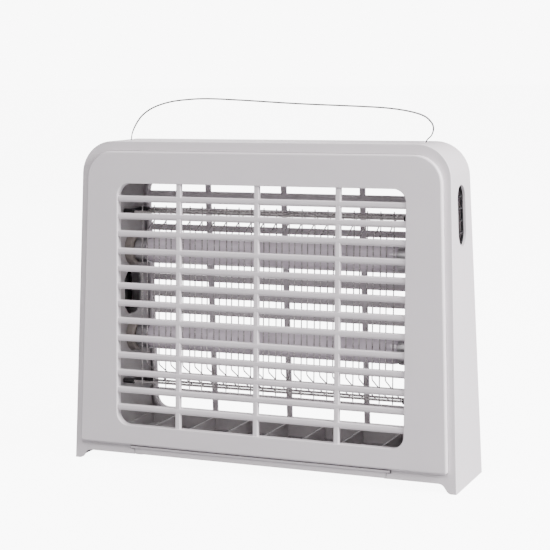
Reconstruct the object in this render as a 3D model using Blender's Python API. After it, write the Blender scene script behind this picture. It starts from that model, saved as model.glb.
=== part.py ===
"""Electric bug zapper: a two-tube insect killer with an electrode grid, a tray and a wire hanger.

Metres, +Z up. The origin is on the floor, under the middle of the body. The front faces -Y.
"""
import math

import bmesh
import bpy
from mathutils import Matrix, Vector

COLLECTION_NAME = "electric_bug_zapper"
GAP = 0.0003                    # left between pieces that touch
ARC_STEPS = 8                   # facets in a quarter turn of a large corner
ROUND_STEPS = 24                # sides of a large round piece
SMALL_STEPS = 12                # sides of a small round piece
WELD = 0.00001

# Body: an inverted U that leans in at the sides and narrows towards the top
WIDTH = 0.390
HEIGHT = 0.312
DEPTH_FLOOR = 0.085
DEPTH_TOP = 0.058
SIDE_LEAN = 0.009
WALL = 0.0026
CORNER_RADIUS = 0.031
EDGE_ROUND = 0.0015
UNDERSIDE = 0.0085              # height of the body's lower edge between the feet
FOOT_WIDTH = 0.010
FOOT_FILLET = 0.007
FACE_LEAN = math.atan((DEPTH_FLOOR - DEPTH_TOP) / 2 / HEIGHT)

# Front and rear panels, measured in their own leaning frame
PANEL_SIDE_INSET = 0.0072
PANEL_TOP_INSET = 0.009
PANEL_BOTTOM = 0.0178
PANEL_RADIUS = 0.026
PANEL_FOOT_RADIUS = 0.003
PANEL_PROUD = 0.0045
PANEL_BACK = 0.0035
PANEL_SKIN = 0.0024
PANEL_BEVEL = 0.002

# Window and its bars
WINDOW_HALF = 0.1462
WINDOW_BOTTOM = 0.0372
BAR_PITCH = 0.0169
BAR_COUNT = 13
BAR_HEIGHT = 0.0062
WINDOW_TOP = 0.2718
WINDOW_RADIUS = 0.012
UPRIGHT_SPACING = 0.081
UPRIGHT_WIDTH = 0.005
BAR_SETBACK = 0.0009

# Side vents, near the top of each side wall
VENT_WIDTH = 0.025
VENT_BOTTOM = 0.2185
VENT_TOP = 0.274
VENT_FLANGE = 0.003
VENT_PLATE = 0.0015
VENT_RIBS = 4
VENT_RIB_WALL = 0.0016
VENT_UPRIGHT_WALL = 0.0022

# Tray, which slides out to the front
TRAY_HALF = 0.1284
TRAY_LIP_HALF = 0.1329
TRAY_BOTTOM = 0.0087
TRAY_TOP = 0.0173
TRAY_SHOULDER = 0.0142
TRAY_WALL = 0.0016
TRAY_BACK = 0.036
TRAY_LIP = 0.004                # thickness of the front lip
TRAY_BROW = 0.0018              # how far the lip's brow stands out
TRAY_BROW_ROUND = 0.0016

# Bottom guard over the tray
GUARD_HALF = 0.1495
GUARD_DEPTH = 0.0365
GUARD_BOTTOM = 0.0200
GUARD_TOP = 0.0330
GUARD_WALL = 0.002
GUARD_SHELF = 0.0205            # width of the closed shelf at each end
GUARD_WEB_BOTTOM = 0.0065       # the webs that carry the tray reach down to here
GUARD_LEDGE = 0.005             # width of the ledge under the tray
GUARD_LEDGE_TOP = 0.0083
FIN_PITCH = 0.0393
FIN_COUNT = 7
FIN_WALL = 0.0018

# Covers under the two side compartments
COVER_INNER = 0.1316
COVER_OUTER = 0.1915
COVER_BOTTOM = 0.0090
COVER_TOP = 0.0112

# Partitions between the middle chamber and the two side compartments
PARTITION_X = 0.150
PARTITION_WALL = 0.002
PARTITION_BOTTOM = 0.0120
PARTITION_TOP = 0.3000
OPENING_HALF = 0.017
OPENING_BOTTOM = 0.140
OPENING_TOP = 0.183
OPENING_CHAMFER = 0.008

# Lamps and holders
LAMP_HEIGHTS = {"upper": 0.2040, "lower": 0.1185}
LAMP_RADIUS = 0.0128
CAP_RADIUS = 0.0130
CAP_FACE = 0.1420
CAP_LENGTH = 0.0125
PIN_RADIUS = 0.00118
PIN_SPACING = 0.0127
PIN_LENGTH = 0.0068
HOLDER_FACE = 0.1423
HOLDER_BACK = 0.1580
HOLDER_RADIUS = 0.0156
HOLDER_RECESS_RADIUS = 0.0090
HOLDER_RECESS_DEPTH = 0.0082
HOLDER_SLOT = 0.0034

# Electrode grids, both leaning with the front face, and the bars that insulate their rods
WIRE_RADIUS = 0.00055
ROD_RADIUS = 0.0012
ROD_END = 0.1420
OUTER_WIRE_COUNT = 21
WIRE_PITCH = 0.0129
OUTER_ROD_TOP = 0.2427
OUTER_ROD_BOTTOM = 0.0763
OUTER_TOP_Y = -0.0157           # depth of the outer grid's upper rod
OUTER_STUB_TOP = 0.0068
OUTER_STUB_BOTTOM = 0.0034
INNER_AHEAD = 0.0028            # the bent wires run this far in front of the outer rods
INNER_RUN_TOP = 0.2255
INNER_RUN_BOTTOM = 0.0950
INNER_ROD_TOP = (0.0150, 0.2422)
INNER_ROD_BOTTOM = (0.0193, 0.0693)
INNER_TIP = 0.0015              # length of wire past each inner rod
INSULATOR_FACE = 0.1385
INSULATOR_PLATE = 0.0025
INSULATOR_HALF = 0.0018         # half the height of the flat bar
INSULATOR_RADIUS = 0.0028       # boss round each rod's end

# Hanger wire, which swings about the line through its two ends
HANGER_X = 0.152
HANGER_Y = 0.006
HANGER_AXIS = 0.3055
HANGER_RADIUS = 0.0006
HANGER_TURN_IN = 0.0055
HANGER_SLOT_LENGTH = 0.020
HANGER_SLOT_WIDTH = 0.0060
HANGER_BEND = 0.0012            # size of the bend where the wire turns in
BUSH_START = 0.1425
BUSH_END = 0.1505
BUSH_HALF = 0.006
BUSH_DROP = 0.0045              # how far a bush reaches below the wire's axis

# Screws that hold the rear panel to the partitions' bosses
SCREW_X = 0.160
SCREW_HEIGHTS = (0.052, 0.268)
SCREW_HEAD_RADIUS = 0.0035
SCREW_HEAD = 0.0020
SCREW_WELL = 0.0036             # depth of the well round each head
SCREW_RADIUS = 0.0014
SCREW_LENGTH = 0.012
SCREW_RECESS = 0.0006           # width of the cross in each head
SCREW_RECESS_HALF = 0.0022
SCREW_POST = 0.0057             # radius of the panel's post round each screw
BOSS_RADIUS = 0.0045
BOSS_LENGTH = 0.014
BOSS_WEB = 0.003

# Mains inlet, low in the left side wall
INLET_Y = 0.012
INLET_Z = 0.045
INLET_HALF = 0.012
INLET_HALF_HEIGHT = 0.008
INLET_RADIUS = 0.0035
INLET_BACK = 0.180
INLET_PIN_SPACING = 0.0086
INLET_WELL_RADIUS = 0.0040
INLET_WELL = 0.009

# Electrical pieces in the side compartments: low corner, high corner
TRANSFORMER = ((-0.1840, -0.0160, 0.1430), (-0.1590, 0.0160, 0.1800))
MULTIPLIER_BOARD = ((-0.1700, -0.0210, 0.0950), (-0.1684, 0.0210, 0.1330))
MULTIPLIER_CAPACITORS = (((-0.1681, -0.0130, 0.0970), (-0.1600, 0.0130, 0.1110)),
                         ((-0.1681, -0.0130, 0.1160), (-0.1600, 0.0130, 0.1300)))
BALLAST_BOARD = ((0.1720, -0.0200, 0.1330), (0.1736, 0.0200, 0.2000))
BALLAST_CHOKE = ((0.1600, -0.0100, 0.1400), (0.1717, 0.0100, 0.1600))
BALLAST_CAN_HEIGHT = 0.1740
BALLAST_CAN_ENDS = (0.1590, 0.1717)
BALLAST_CAN_RADIUS = 0.0070


def half_width(z):
    return WIDTH / 2 - SIDE_LEAN * z / HEIGHT


def half_depth(z):
    return DEPTH_FLOOR / 2 - (DEPTH_FLOOR - DEPTH_TOP) / 2 * z / HEIGHT


# ---------------------------------------------------------------- outlines and shapes

def arc(centre_x, centre_z, radius, start, end, steps=ARC_STEPS):
    """Points of an arc, with its angles in degrees."""
    points = []
    for step in range(steps + 1):
        angle = math.radians(start + (end - start) * step / steps)
        points.append((centre_x + radius * math.cos(angle), centre_z + radius * math.sin(angle)))
    return points


def arch_outline(side_inset, top_inset, bottom, radius, foot_radius=0.0):
    """The body's front outline, moved inwards, cut off at a height."""
    top = HEIGHT - top_inset
    side = half_width(top - radius) - side_inset
    points = arc(-side + radius, top - radius, radius, 180, 90)
    points += arc(side - radius, top - radius, radius, 90, 0)
    foot = half_width(bottom) - side_inset
    if foot_radius:
        points += arc(foot - foot_radius, bottom + foot_radius, foot_radius, 0, -90, 3)
        points += arc(-foot + foot_radius, bottom + foot_radius, foot_radius, -90, -180, 3)
    else:
        points += [(foot, bottom), (-foot, bottom)]
    return points


def rounded_box_outline(half, bottom, top, radius, steps=4):
    """An upright rectangle centred on x = 0 with round corners."""
    points = arc(half - radius, bottom + radius, radius, -90, 0, steps)
    points += arc(half - radius, top - radius, radius, 0, 90, steps)
    points += arc(-half + radius, top - radius, radius, 90, 180, steps)
    points += arc(-half + radius, bottom + radius, radius, 180, 270, steps)
    return points


def evaluated_mesh(source):
    """The mesh that an object evaluates to; the object is then removed."""
    bpy.context.view_layer.update()
    graph = bpy.context.evaluated_depsgraph_get()
    mesh = bpy.data.meshes.new_from_object(source.evaluated_get(graph))
    mesh.transform(source.matrix_world)
    data = source.data
    bpy.data.objects.remove(source)
    if isinstance(data, bpy.types.Curve):
        bpy.data.curves.remove(data)
    return mesh


def welded(mesh):
    """Close a mesh's seams, clear its slivers and turn its faces outwards."""
    shape = bmesh.new()
    shape.from_mesh(mesh)
    bmesh.ops.remove_doubles(shape, verts=shape.verts, dist=WELD)
    bmesh.ops.dissolve_degenerate(shape, dist=WELD, edges=shape.edges)
    bmesh.ops.recalc_face_normals(shape, faces=shape.faces)
    shape.to_mesh(mesh)
    shape.free()
    return mesh


def curve_object(outlines, cyclic, flat):
    data = bpy.data.curves.new("outline", "CURVE")
    data.dimensions = "2D" if flat else "3D"
    for outline in outlines:
        spline = data.splines.new("POLY")
        spline.points.add(len(outline) - 1)
        for point, place_on in zip(spline.points, outline):
            point.co = (*place_on, 0.0, 1.0) if flat else (*place_on, 1.0)
        spline.use_cyclic_u = cyclic
    holder = bpy.data.objects.new("outline", data)
    bpy.context.scene.collection.objects.link(holder)
    return holder


def slab(outlines, start, end):
    """Upright outlines in X and Z, given a thickness from start to end along Y."""
    holder = curve_object(outlines, cyclic=True, flat=True)
    holder.data.fill_mode = "BOTH"
    holder.data.extrude = (end - start) / 2
    holder.rotation_euler = (math.radians(90), 0.0, 0.0)
    holder.location = (0.0, (start + end) / 2, 0.0)
    return welded(evaluated_mesh(holder))


def side_slab(outlines, start, end):
    """Outlines in Y and Z, given a thickness from start to end along X."""
    mesh = slab(outlines, -end, -start)
    mesh.transform(Matrix.Rotation(math.radians(90), 4, "Z"))
    return mesh


def wire(points, radius, cyclic=False, resolution=0):
    holder = curve_object([points], cyclic=cyclic, flat=False)
    holder.data.bevel_depth = radius
    holder.data.bevel_resolution = resolution
    holder.data.use_fill_caps = not cyclic
    return welded(evaluated_mesh(holder))


def block(low, high):
    """A box between two corners."""
    low, high = Vector(low), Vector(high)
    shape = bmesh.new()
    bmesh.ops.create_cube(shape, size=1.0)
    bmesh.ops.scale(shape, verts=shape.verts, vec=high - low)
    bmesh.ops.translate(shape, verts=shape.verts, vec=(low + high) / 2)
    mesh = bpy.data.meshes.new("block")
    shape.to_mesh(mesh)
    shape.free()
    return mesh


def round_bar(axis, centre, start, end, radius, steps=SMALL_STEPS):
    """A cylinder along an axis; centre gives its place on the other two axes."""
    shape = bmesh.new()
    bmesh.ops.create_cone(shape, cap_ends=True, segments=steps, radius1=radius, radius2=radius,
                          depth=end - start)
    turns = {"X": Matrix.Rotation(math.radians(90), 4, "Y"),
             "Y": Matrix.Rotation(math.radians(-90), 4, "X"),
             "Z": Matrix.Identity(4)}
    bmesh.ops.transform(shape, matrix=turns[axis], verts=shape.verts)
    shift = Vector(centre)
    shift["XYZ".index(axis)] = (start + end) / 2
    bmesh.ops.translate(shape, verts=shape.verts, vec=shift)
    mesh = bpy.data.meshes.new("bar")
    shape.to_mesh(mesh)
    shape.free()
    return mesh


def joined(meshes):
    """Several meshes as one, without merging them."""
    shape = bmesh.new()
    for mesh in meshes:
        shape.from_mesh(mesh)
        bpy.data.meshes.remove(mesh)
    mesh = bpy.data.meshes.new("joined")
    shape.to_mesh(mesh)
    shape.free()
    return mesh


def boolean(operation, base, *others):
    """Apply one Boolean operation with each other mesh in turn."""
    for other in others:
        base_object = bpy.data.objects.new("base", base)
        tool_object = bpy.data.objects.new("tool", other)
        for item in (base_object, tool_object):
            bpy.context.scene.collection.objects.link(item)
        step = base_object.modifiers.new("boolean", "BOOLEAN")
        step.operation = operation
        step.solver = "EXACT"
        step.object = tool_object
        base = welded(evaluated_mesh(base_object))
        bpy.data.objects.remove(tool_object)
    return base


def cut(base, *others):
    return boolean("DIFFERENCE", base, *others)


def union(base, *others):
    return boolean("UNION", base, *others)


def bevelled(mesh, chosen, width, segments=2):
    """Round the edges whose two end points and angle pass the test."""
    shape = bmesh.new()
    shape.from_mesh(mesh)
    edges = [edge for edge in shape.edges
             if edge.is_manifold and edge.calc_face_angle() > math.radians(35) and chosen(edge)]
    bmesh.ops.bevel(shape, geom=edges, offset=width, segments=segments, profile=0.5,
                    affect="EDGES", clamp_overlap=True)
    shape.to_mesh(mesh)
    shape.free()
    return mesh


def mirrored(mesh):
    """A copy of a mesh on the other side of x = 0."""
    copy = mesh.copy()
    copy.transform(Matrix.Scale(-1, 4, (1, 0, 0)))
    return welded(copy)


# ---------------------------------------------------------------- materials and placing

def material(name, colour, roughness, metallic=0.0):
    finish = bpy.data.materials.new(name)
    finish.use_nodes = True
    shader = finish.node_tree.nodes["Principled BSDF"]
    shader.inputs["Base Color"].default_value = (*colour, 1.0)
    shader.inputs["Roughness"].default_value = roughness
    shader.inputs["Metallic"].default_value = metallic
    finish.diffuse_color = (*colour, 1.0)
    return finish


def place(name, mesh, finish, parent=None, location=(0.0, 0.0, 0.0)):
    """Add one named piece to the object's collection."""
    mesh.name = name
    mesh.materials.clear()
    mesh.materials.append(finish)
    mesh.shade_smooth()
    mesh.set_sharp_from_angle(angle=math.radians(30))
    piece = bpy.data.objects.new(name, mesh)
    bpy.data.collections[COLLECTION_NAME].objects.link(piece)
    piece.parent = parent
    piece.location = location
    return piece


def empty(name, location, rotation=(0.0, 0.0, 0.0)):
    frame = bpy.data.objects.new(name, None)
    bpy.data.collections[COLLECTION_NAME].objects.link(frame)
    frame.location = location
    frame.rotation_euler = rotation
    return frame


# ---------------------------------------------------------------- housing

def body_prism(inset, bottom):
    """The body's outer form moved inwards: front outline crossed with side outline."""
    front = slab([arch_outline(inset, inset, bottom, CORNER_RADIUS - inset)], -0.1, 0.1)
    low = half_depth(bottom) - inset
    high = half_depth(HEIGHT + 0.01) - inset
    sides = side_slab([[(-low, bottom - 0.001), (low, bottom - 0.001),
                        (high, HEIGHT + 0.01), (-high, HEIGHT + 0.01)]], -0.3, 0.3)
    return boolean("INTERSECT", front, sides)


def leaning(mesh, rear=False):
    """Turn a mesh from the front panel's own frame to the body's."""
    turn = Matrix.Rotation(math.pi, 4, "Z") if rear else Matrix.Identity(4)
    mesh.transform(turn @ Matrix.Translation((0, -DEPTH_FLOOR / 2, 0))
                   @ Matrix.Rotation(-FACE_LEAN, 4, "X"))
    return mesh


def panel_opening():
    return slab([arch_outline(PANEL_SIDE_INSET - GAP, PANEL_TOP_INSET - GAP, PANEL_BOTTOM - GAP,
                              PANEL_RADIUS + GAP, PANEL_FOOT_RADIUS)], -0.02, 0.02)


def vent_outline(margin):
    radius = VENT_WIDTH / 2 + margin
    points = arc(0.0, VENT_TOP - VENT_WIDTH / 2, radius, 0, 180, ARC_STEPS)
    points += arc(0.0, VENT_BOTTOM + VENT_WIDTH / 2, radius, 180, 360, ARC_STEPS)
    return points


def make_housing(finish):
    below = 0.012
    outer = bevelled(body_prism(0.0, -below), lambda edge: True, EDGE_ROUND)
    outer = cut(outer, block((-0.3, -0.2, -0.1), (0.3, 0.2, 0.0)))
    outer = cut(outer, body_prism(WALL, -2 * below))
    outer = cut(outer, leaning(panel_opening()), leaning(panel_opening(), rear=True))
    arch_half = WIDTH / 2 - FOOT_WIDTH
    arch = slab([rounded_box_outline(arch_half, -0.02, UNDERSIDE, FOOT_FILLET)], -0.1, 0.1)
    outer = cut(outer, arch)
    tray_front = -DEPTH_FLOOR / 2
    lower = block((-TRAY_HALF - GAP, tray_front - 0.02, UNDERSIDE - 0.001),
                  (TRAY_HALF + GAP, tray_front + 0.02, PANEL_BOTTOM + 0.002))
    upper = block((-TRAY_LIP_HALF - GAP, tray_front - 0.02, TRAY_SHOULDER - GAP),
                  (TRAY_LIP_HALF + GAP, tray_front + 0.02, PANEL_BOTTOM + 0.002))
    outer = cut(outer, lower, upper)
    vents = side_slab([vent_outline(0.0)], -0.3, 0.3)
    outer = cut(outer, vents)
    for side in (-1, 1):
        x = side * HANGER_X
        slot = slab([rounded_box_outline(HANGER_SLOT_LENGTH / 2, -HANGER_SLOT_WIDTH / 2,
                                         HANGER_SLOT_WIDTH / 2, HANGER_SLOT_WIDTH * 0.49)],
                    -0.01, 0.01)
        slot.transform(Matrix.Translation((x, HANGER_Y, HEIGHT)) @ Matrix.Rotation(math.pi / 2, 4, "Z")
                       @ Matrix.Rotation(math.pi / 2, 4, "X"))
        outer = cut(outer, slot)
    outer = cut(outer, inlet_body(GAP))
    return place("housing_frame", outer, finish)


# ---------------------------------------------------------------- panels

def bar_height(index):
    """Height of a bar's middle, counted from the lowest."""
    return WINDOW_BOTTOM + BAR_PITCH * (index + 1)


def window_cells():
    """The openings between the bars, as one set of boxes."""
    edges_z = [WINDOW_BOTTOM - 0.01]
    for index in range(BAR_COUNT):
        edges_z += [bar_height(index) - BAR_HEIGHT / 2, bar_height(index) + BAR_HEIGHT / 2]
    edges_z.append(WINDOW_TOP + 0.01)
    edges_x = [-WINDOW_HALF - 0.01]
    for middle in (-UPRIGHT_SPACING, 0.0, UPRIGHT_SPACING):
        edges_x += [middle - UPRIGHT_WIDTH / 2, middle + UPRIGHT_WIDTH / 2]
    edges_x.append(WINDOW_HALF + 0.01)
    cells = []
    for left, right in zip(edges_x[::2], edges_x[1::2]):
        for bottom, top in zip(edges_z[::2], edges_z[1::2]):
            cells.append(block((left, -0.02, bottom), (right, 0.02, top)))
    return joined(cells)


def panel_mesh(with_screws):
    outline = arch_outline(PANEL_SIDE_INSET, PANEL_TOP_INSET, PANEL_BOTTOM, PANEL_RADIUS,
                           PANEL_FOOT_RADIUS)
    window = rounded_box_outline(WINDOW_HALF, WINDOW_BOTTOM, WINDOW_TOP, WINDOW_RADIUS)
    mesh = slab([outline], -PANEL_PROUD, PANEL_BACK)
    mesh = bevelled(mesh, lambda edge: all(v.co.y < -PANEL_PROUD + WELD for v in edge.verts),
                    PANEL_BEVEL)
    rim = rounded_box_outline(WINDOW_HALF + PANEL_SKIN, WINDOW_BOTTOM - PANEL_SKIN,
                              WINDOW_TOP + PANEL_SKIN, WINDOW_RADIUS + PANEL_SKIN)
    inside = arch_outline(PANEL_SIDE_INSET + PANEL_SKIN, PANEL_TOP_INSET + PANEL_SKIN,
                          PANEL_BOTTOM + PANEL_SKIN, PANEL_RADIUS - PANEL_SKIN)
    pocket = slab([inside, rim], -PANEL_PROUD + PANEL_SKIN, 0.02)
    mesh = cut(mesh, slab([window], -0.02, -PANEL_PROUD + BAR_SETBACK))
    mesh = cut(mesh, boolean("INTERSECT", slab([window], -0.015, 0.015), window_cells()))
    if with_screws:
        for x in (-SCREW_X, SCREW_X):
            for z in SCREW_HEIGHTS:
                well = round_bar("Y", (x, 0, z), -0.02, -PANEL_PROUD + SCREW_WELL,
                                 SCREW_HEAD_RADIUS + 0.0005)
                hole = round_bar("Y", (x, 0, z), -0.01, 0.01, SCREW_RADIUS + GAP)
                post = round_bar("Y", (x, 0, z), -0.01, 0.03, SCREW_POST)
                mesh = cut(mesh, well, hole)
                pocket = cut(pocket, post)
    return cut(mesh, pocket)


def make_panels(finish, front_frame, rear_frame):
    place("front_panel", panel_mesh(False), finish, front_frame)
    place("rear_panel", panel_mesh(True), finish, rear_frame)


def make_screws(finish, rear_frame):
    seat = -PANEL_PROUD + SCREW_WELL - GAP
    head = round_bar("Y", (0, 0, 0), -SCREW_HEAD, 0.0, SCREW_HEAD_RADIUS)
    head = bevelled(head, lambda edge: all(v.co.y < -SCREW_HEAD + WELD for v in edge.verts),
                    0.0007, 1)
    shank = round_bar("Y", (0, 0, 0), -0.0005, SCREW_LENGTH, SCREW_RADIUS, 8)
    mesh = union(head, shank)
    half, thin = SCREW_RECESS_HALF, SCREW_RECESS / 2
    deep = -SCREW_HEAD + 0.001
    mesh = cut(mesh, block((-half, -0.01, -thin), (half, deep, thin)),
               block((-thin, -0.01, -half), (thin, deep, half)))
    number = 1
    for x in (-SCREW_X, SCREW_X):
        for z in SCREW_HEIGHTS:
            place(f"rear_panel_screw_{number}", mesh if number == 1 else mesh.copy(), finish,
                  rear_frame, (x, seat, z))
            number += 1


# ---------------------------------------------------------------- tray and guard

def make_tray(finish):
    front = -half_depth(TRAY_BOTTOM)
    lip_back = front + TRAY_LIP
    floor_front = lip_back - 0.001
    pan = block((-TRAY_HALF, floor_front, TRAY_BOTTOM), (TRAY_HALF, TRAY_BACK, TRAY_TOP - 0.0006))
    inside = block((-TRAY_HALF + TRAY_WALL, lip_back, TRAY_BOTTOM + TRAY_WALL),
                   (TRAY_HALF - TRAY_WALL, TRAY_BACK - TRAY_WALL, TRAY_TOP + 0.01))
    lip = block((-TRAY_HALF, front, TRAY_BOTTOM), (TRAY_HALF, lip_back, TRAY_TOP))
    brow = block((-TRAY_LIP_HALF, front - TRAY_BROW, TRAY_SHOULDER),
                 (TRAY_LIP_HALF, lip_back - 0.0008, TRAY_TOP))
    brow = bevelled(brow, lambda edge: all(v.co.y < front - 0.001 and v.co.z < TRAY_SHOULDER + WELD
                                           for v in edge.verts), TRAY_BROW_ROUND, 2)
    mesh = union(cut(pan, inside), lip, brow)
    return place("collecting_tray", mesh, finish)


def make_guard(finish):
    ring = block((-GUARD_HALF, -GUARD_DEPTH, GUARD_BOTTOM), (GUARD_HALF, GUARD_DEPTH, GUARD_TOP))
    inner = GUARD_HALF - GUARD_SHELF
    mesh = cut(ring, block((-GUARD_HALF + GUARD_WALL, -GUARD_DEPTH + GUARD_WALL,
                            GUARD_BOTTOM + GUARD_WALL),
                           (GUARD_HALF - GUARD_WALL, GUARD_DEPTH - GUARD_WALL, GUARD_TOP + 0.01)))
    mesh = cut(mesh, block((-inner, -GUARD_DEPTH + GUARD_WALL, 0.0),
                           (inner, GUARD_DEPTH - GUARD_WALL, GUARD_TOP)))
    for index in range(FIN_COUNT):
        x = FIN_PITCH * (index - (FIN_COUNT - 1) / 2)
        fin = block((x - FIN_WALL / 2, -GUARD_DEPTH + 0.001, GUARD_BOTTOM),
                    (x + FIN_WALL / 2, GUARD_DEPTH - 0.001, GUARD_TOP))
        mesh = union(mesh, fin)
    for side in (-1, 1):
        web = sorted((side * inner, side * (inner + GUARD_WALL)))
        ledge = sorted((side * (inner - GUARD_LEDGE), side * (inner + GUARD_WALL)))
        mesh = union(mesh, block((web[0], -GUARD_DEPTH + 0.001, GUARD_WEB_BOTTOM),
                                 (web[1], GUARD_DEPTH - 0.001, GUARD_BOTTOM + 0.001)))
        mesh = union(mesh, block((ledge[0], -GUARD_DEPTH + 0.001, GUARD_WEB_BOTTOM),
                                 (ledge[1], GUARD_DEPTH - 0.001, GUARD_LEDGE_TOP)))
    return place("bottom_guard", mesh, finish)


def make_bottom_covers(finish):
    depth = half_depth(COVER_TOP) - WALL - GAP
    cover = block((COVER_INNER, -depth, COVER_BOTTOM), (COVER_OUTER, depth, COVER_TOP))
    place("right_bottom_cover", cover, finish)
    place("left_bottom_cover", mirrored(cover), finish)


# ---------------------------------------------------------------- partitions and their fittings

def partition_depth(z):
    return half_depth(z) - PANEL_BACK - 0.0008


def partition_mesh():
    low, high = partition_depth(PARTITION_BOTTOM), partition_depth(PARTITION_TOP)
    outline = [(-low, PARTITION_BOTTOM), (low, PARTITION_BOTTOM),
               (high, PARTITION_TOP), (-high, PARTITION_TOP)]
    inner_edge = OPENING_HALF - OPENING_CHAMFER
    opening = [(-OPENING_HALF, OPENING_BOTTOM + OPENING_CHAMFER),
               (-OPENING_HALF, OPENING_TOP - OPENING_CHAMFER),
               (-inner_edge, OPENING_TOP), (inner_edge, OPENING_TOP),
               (OPENING_HALF, OPENING_TOP - OPENING_CHAMFER),
               (OPENING_HALF, OPENING_BOTTOM + OPENING_CHAMFER),
               (inner_edge, OPENING_BOTTOM), (-inner_edge, OPENING_BOTTOM)]
    holes = [arc(0.0, z, HOLDER_RADIUS + GAP, 0, 345, 23) for z in LAMP_HEIGHTS.values()]
    mesh = side_slab([outline, opening, *holes], PARTITION_X, PARTITION_X + PARTITION_WALL)
    front = PANEL_BACK + 2 * GAP
    for z in SCREW_HEIGHTS:
        web = block((-SCREW_X + 0.001, front, z - BOSS_WEB / 2),
                    (-PARTITION_X - PARTITION_WALL + 0.0005, front + BOSS_LENGTH, z + BOSS_WEB / 2))
        boss = round_bar("Y", (-SCREW_X, 0, z), front, front + BOSS_LENGTH, BOSS_RADIUS)
        hole = round_bar("Y", (-SCREW_X, 0, z), 0.0, front + BOSS_LENGTH - 0.0015,
                         SCREW_RADIUS + GAP)
        for part in (web, boss, hole):
            leaning(part, rear=True)
        mesh = cut(union(mesh, web, boss), hole)
    return mesh


def lampholder_mesh(height):
    barrel = round_bar("X", (0, 0, height), HOLDER_FACE, HOLDER_BACK - 0.0005, HOLDER_RADIUS,
                       ROUND_STEPS)
    flange = block((PARTITION_X + PARTITION_WALL + GAP, -0.017, height - 0.0185),
                   (HOLDER_BACK, 0.017, height + 0.0185))
    deep = HOLDER_FACE + HOLDER_RECESS_DEPTH
    recess = round_bar("X", (0, 0, height), HOLDER_FACE - 0.01, deep, HOLDER_RECESS_RADIUS,
                       ROUND_STEPS)
    slot = block((HOLDER_FACE - 0.01, 0.0, height - HOLDER_SLOT / 2),
                 (deep, 0.03, height + HOLDER_SLOT / 2))
    return cut(union(barrel, flange), recess, slot)


def insulator_mesh(front, rear):
    """A slim bar on a partition with a boss round the end of a front and a rear rod."""
    (front_y, front_z), (rear_y, rear_z) = front, rear
    bar = [(front_y, front_z - INSULATOR_HALF), (rear_y, rear_z - INSULATOR_HALF),
           (rear_y, rear_z + INSULATOR_HALF), (front_y, front_z + INSULATOR_HALF)]
    back = PARTITION_X - GAP
    mesh = side_slab([bar], back - INSULATOR_PLATE, back)
    for y, z in (front, rear):
        boss = round_bar("X", (0, y, z), INSULATOR_FACE, back - 0.0005, INSULATOR_RADIUS)
        mesh = union(mesh, boss)
    for y, z in (front, rear):
        hole = round_bar("X", (0, y, z), INSULATOR_FACE - 0.01, ROD_END + GAP, ROD_RADIUS + GAP, 8)
        mesh = cut(mesh, hole)
    return mesh


def make_partitions(plain, dark, nylon):
    plate = partition_mesh()
    place("right_partition", plate, plain)
    place("left_partition", mirrored(plate), plain)
    for level, height in LAMP_HEIGHTS.items():
        holder = lampholder_mesh(height)
        place(f"{level}_right_lampholder", holder, dark)
        place(f"{level}_left_lampholder", mirrored(holder), dark)
    top = insulator_mesh((OUTER_TOP_Y, OUTER_ROD_TOP), INNER_ROD_TOP)
    bottom = insulator_mesh((grid_plane(OUTER_ROD_BOTTOM), OUTER_ROD_BOTTOM), INNER_ROD_BOTTOM)
    for level, mesh in (("top", top), ("bottom", bottom)):
        place(f"{level}_right_grid_insulator", mesh, nylon)
        place(f"{level}_left_grid_insulator", mirrored(mesh), nylon)


# ---------------------------------------------------------------- lamps and grids

def make_lamp(level, height, glass, metal):
    frame = empty(f"{level}_lamp_axis", (0.0, 0.0, height))
    glass_end = CAP_FACE - CAP_LENGTH - GAP
    place(f"{level}_lamp_tube",
          round_bar("X", (0, 0, 0), -glass_end, glass_end, LAMP_RADIUS, ROUND_STEPS), glass, frame)
    shell = round_bar("X", (0, 0, 0), CAP_FACE - CAP_LENGTH, CAP_FACE, CAP_RADIUS, ROUND_STEPS)
    pins = [round_bar("X", (0, 0, side * PIN_SPACING / 2), CAP_FACE - 0.0005,
                      CAP_FACE + PIN_LENGTH, PIN_RADIUS, 8) for side in (-1, 1)]
    cap = union(shell, *pins)
    place(f"{level}_right_lamp_cap", cap, metal, frame)
    place(f"{level}_left_lamp_cap", mirrored(cap), metal, frame)


def grid_plane(z):
    """Depth of the plane through the outer grid's rods, which leans with the front face."""
    return OUTER_TOP_Y - (OUTER_ROD_TOP - z) * math.tan(FACE_LEAN)


def grid_rod(y, z):
    return round_bar("X", (0, y, z), -ROD_END, ROD_END, ROD_RADIUS, 8)


def make_outer_grid(metal):
    """Straight wires welded to the front of two rods."""
    low, high = OUTER_ROD_BOTTOM - OUTER_STUB_BOTTOM, OUTER_ROD_TOP + OUTER_STUB_TOP
    ahead = ROD_RADIUS - 0.0003
    wires = []
    for index in range(OUTER_WIRE_COUNT):
        x = WIRE_PITCH * (index - (OUTER_WIRE_COUNT - 1) / 2)
        wires.append(wire([(x, grid_plane(low) - ahead, low), (x, grid_plane(high) - ahead, high)],
                          WIRE_RADIUS))
    rods = joined([grid_rod(OUTER_TOP_Y, OUTER_ROD_TOP),
                   grid_rod(grid_plane(OUTER_ROD_BOTTOM), OUTER_ROD_BOTTOM)])
    return place("outer_grid", union(rods, joined(wires)), metal)


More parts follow.
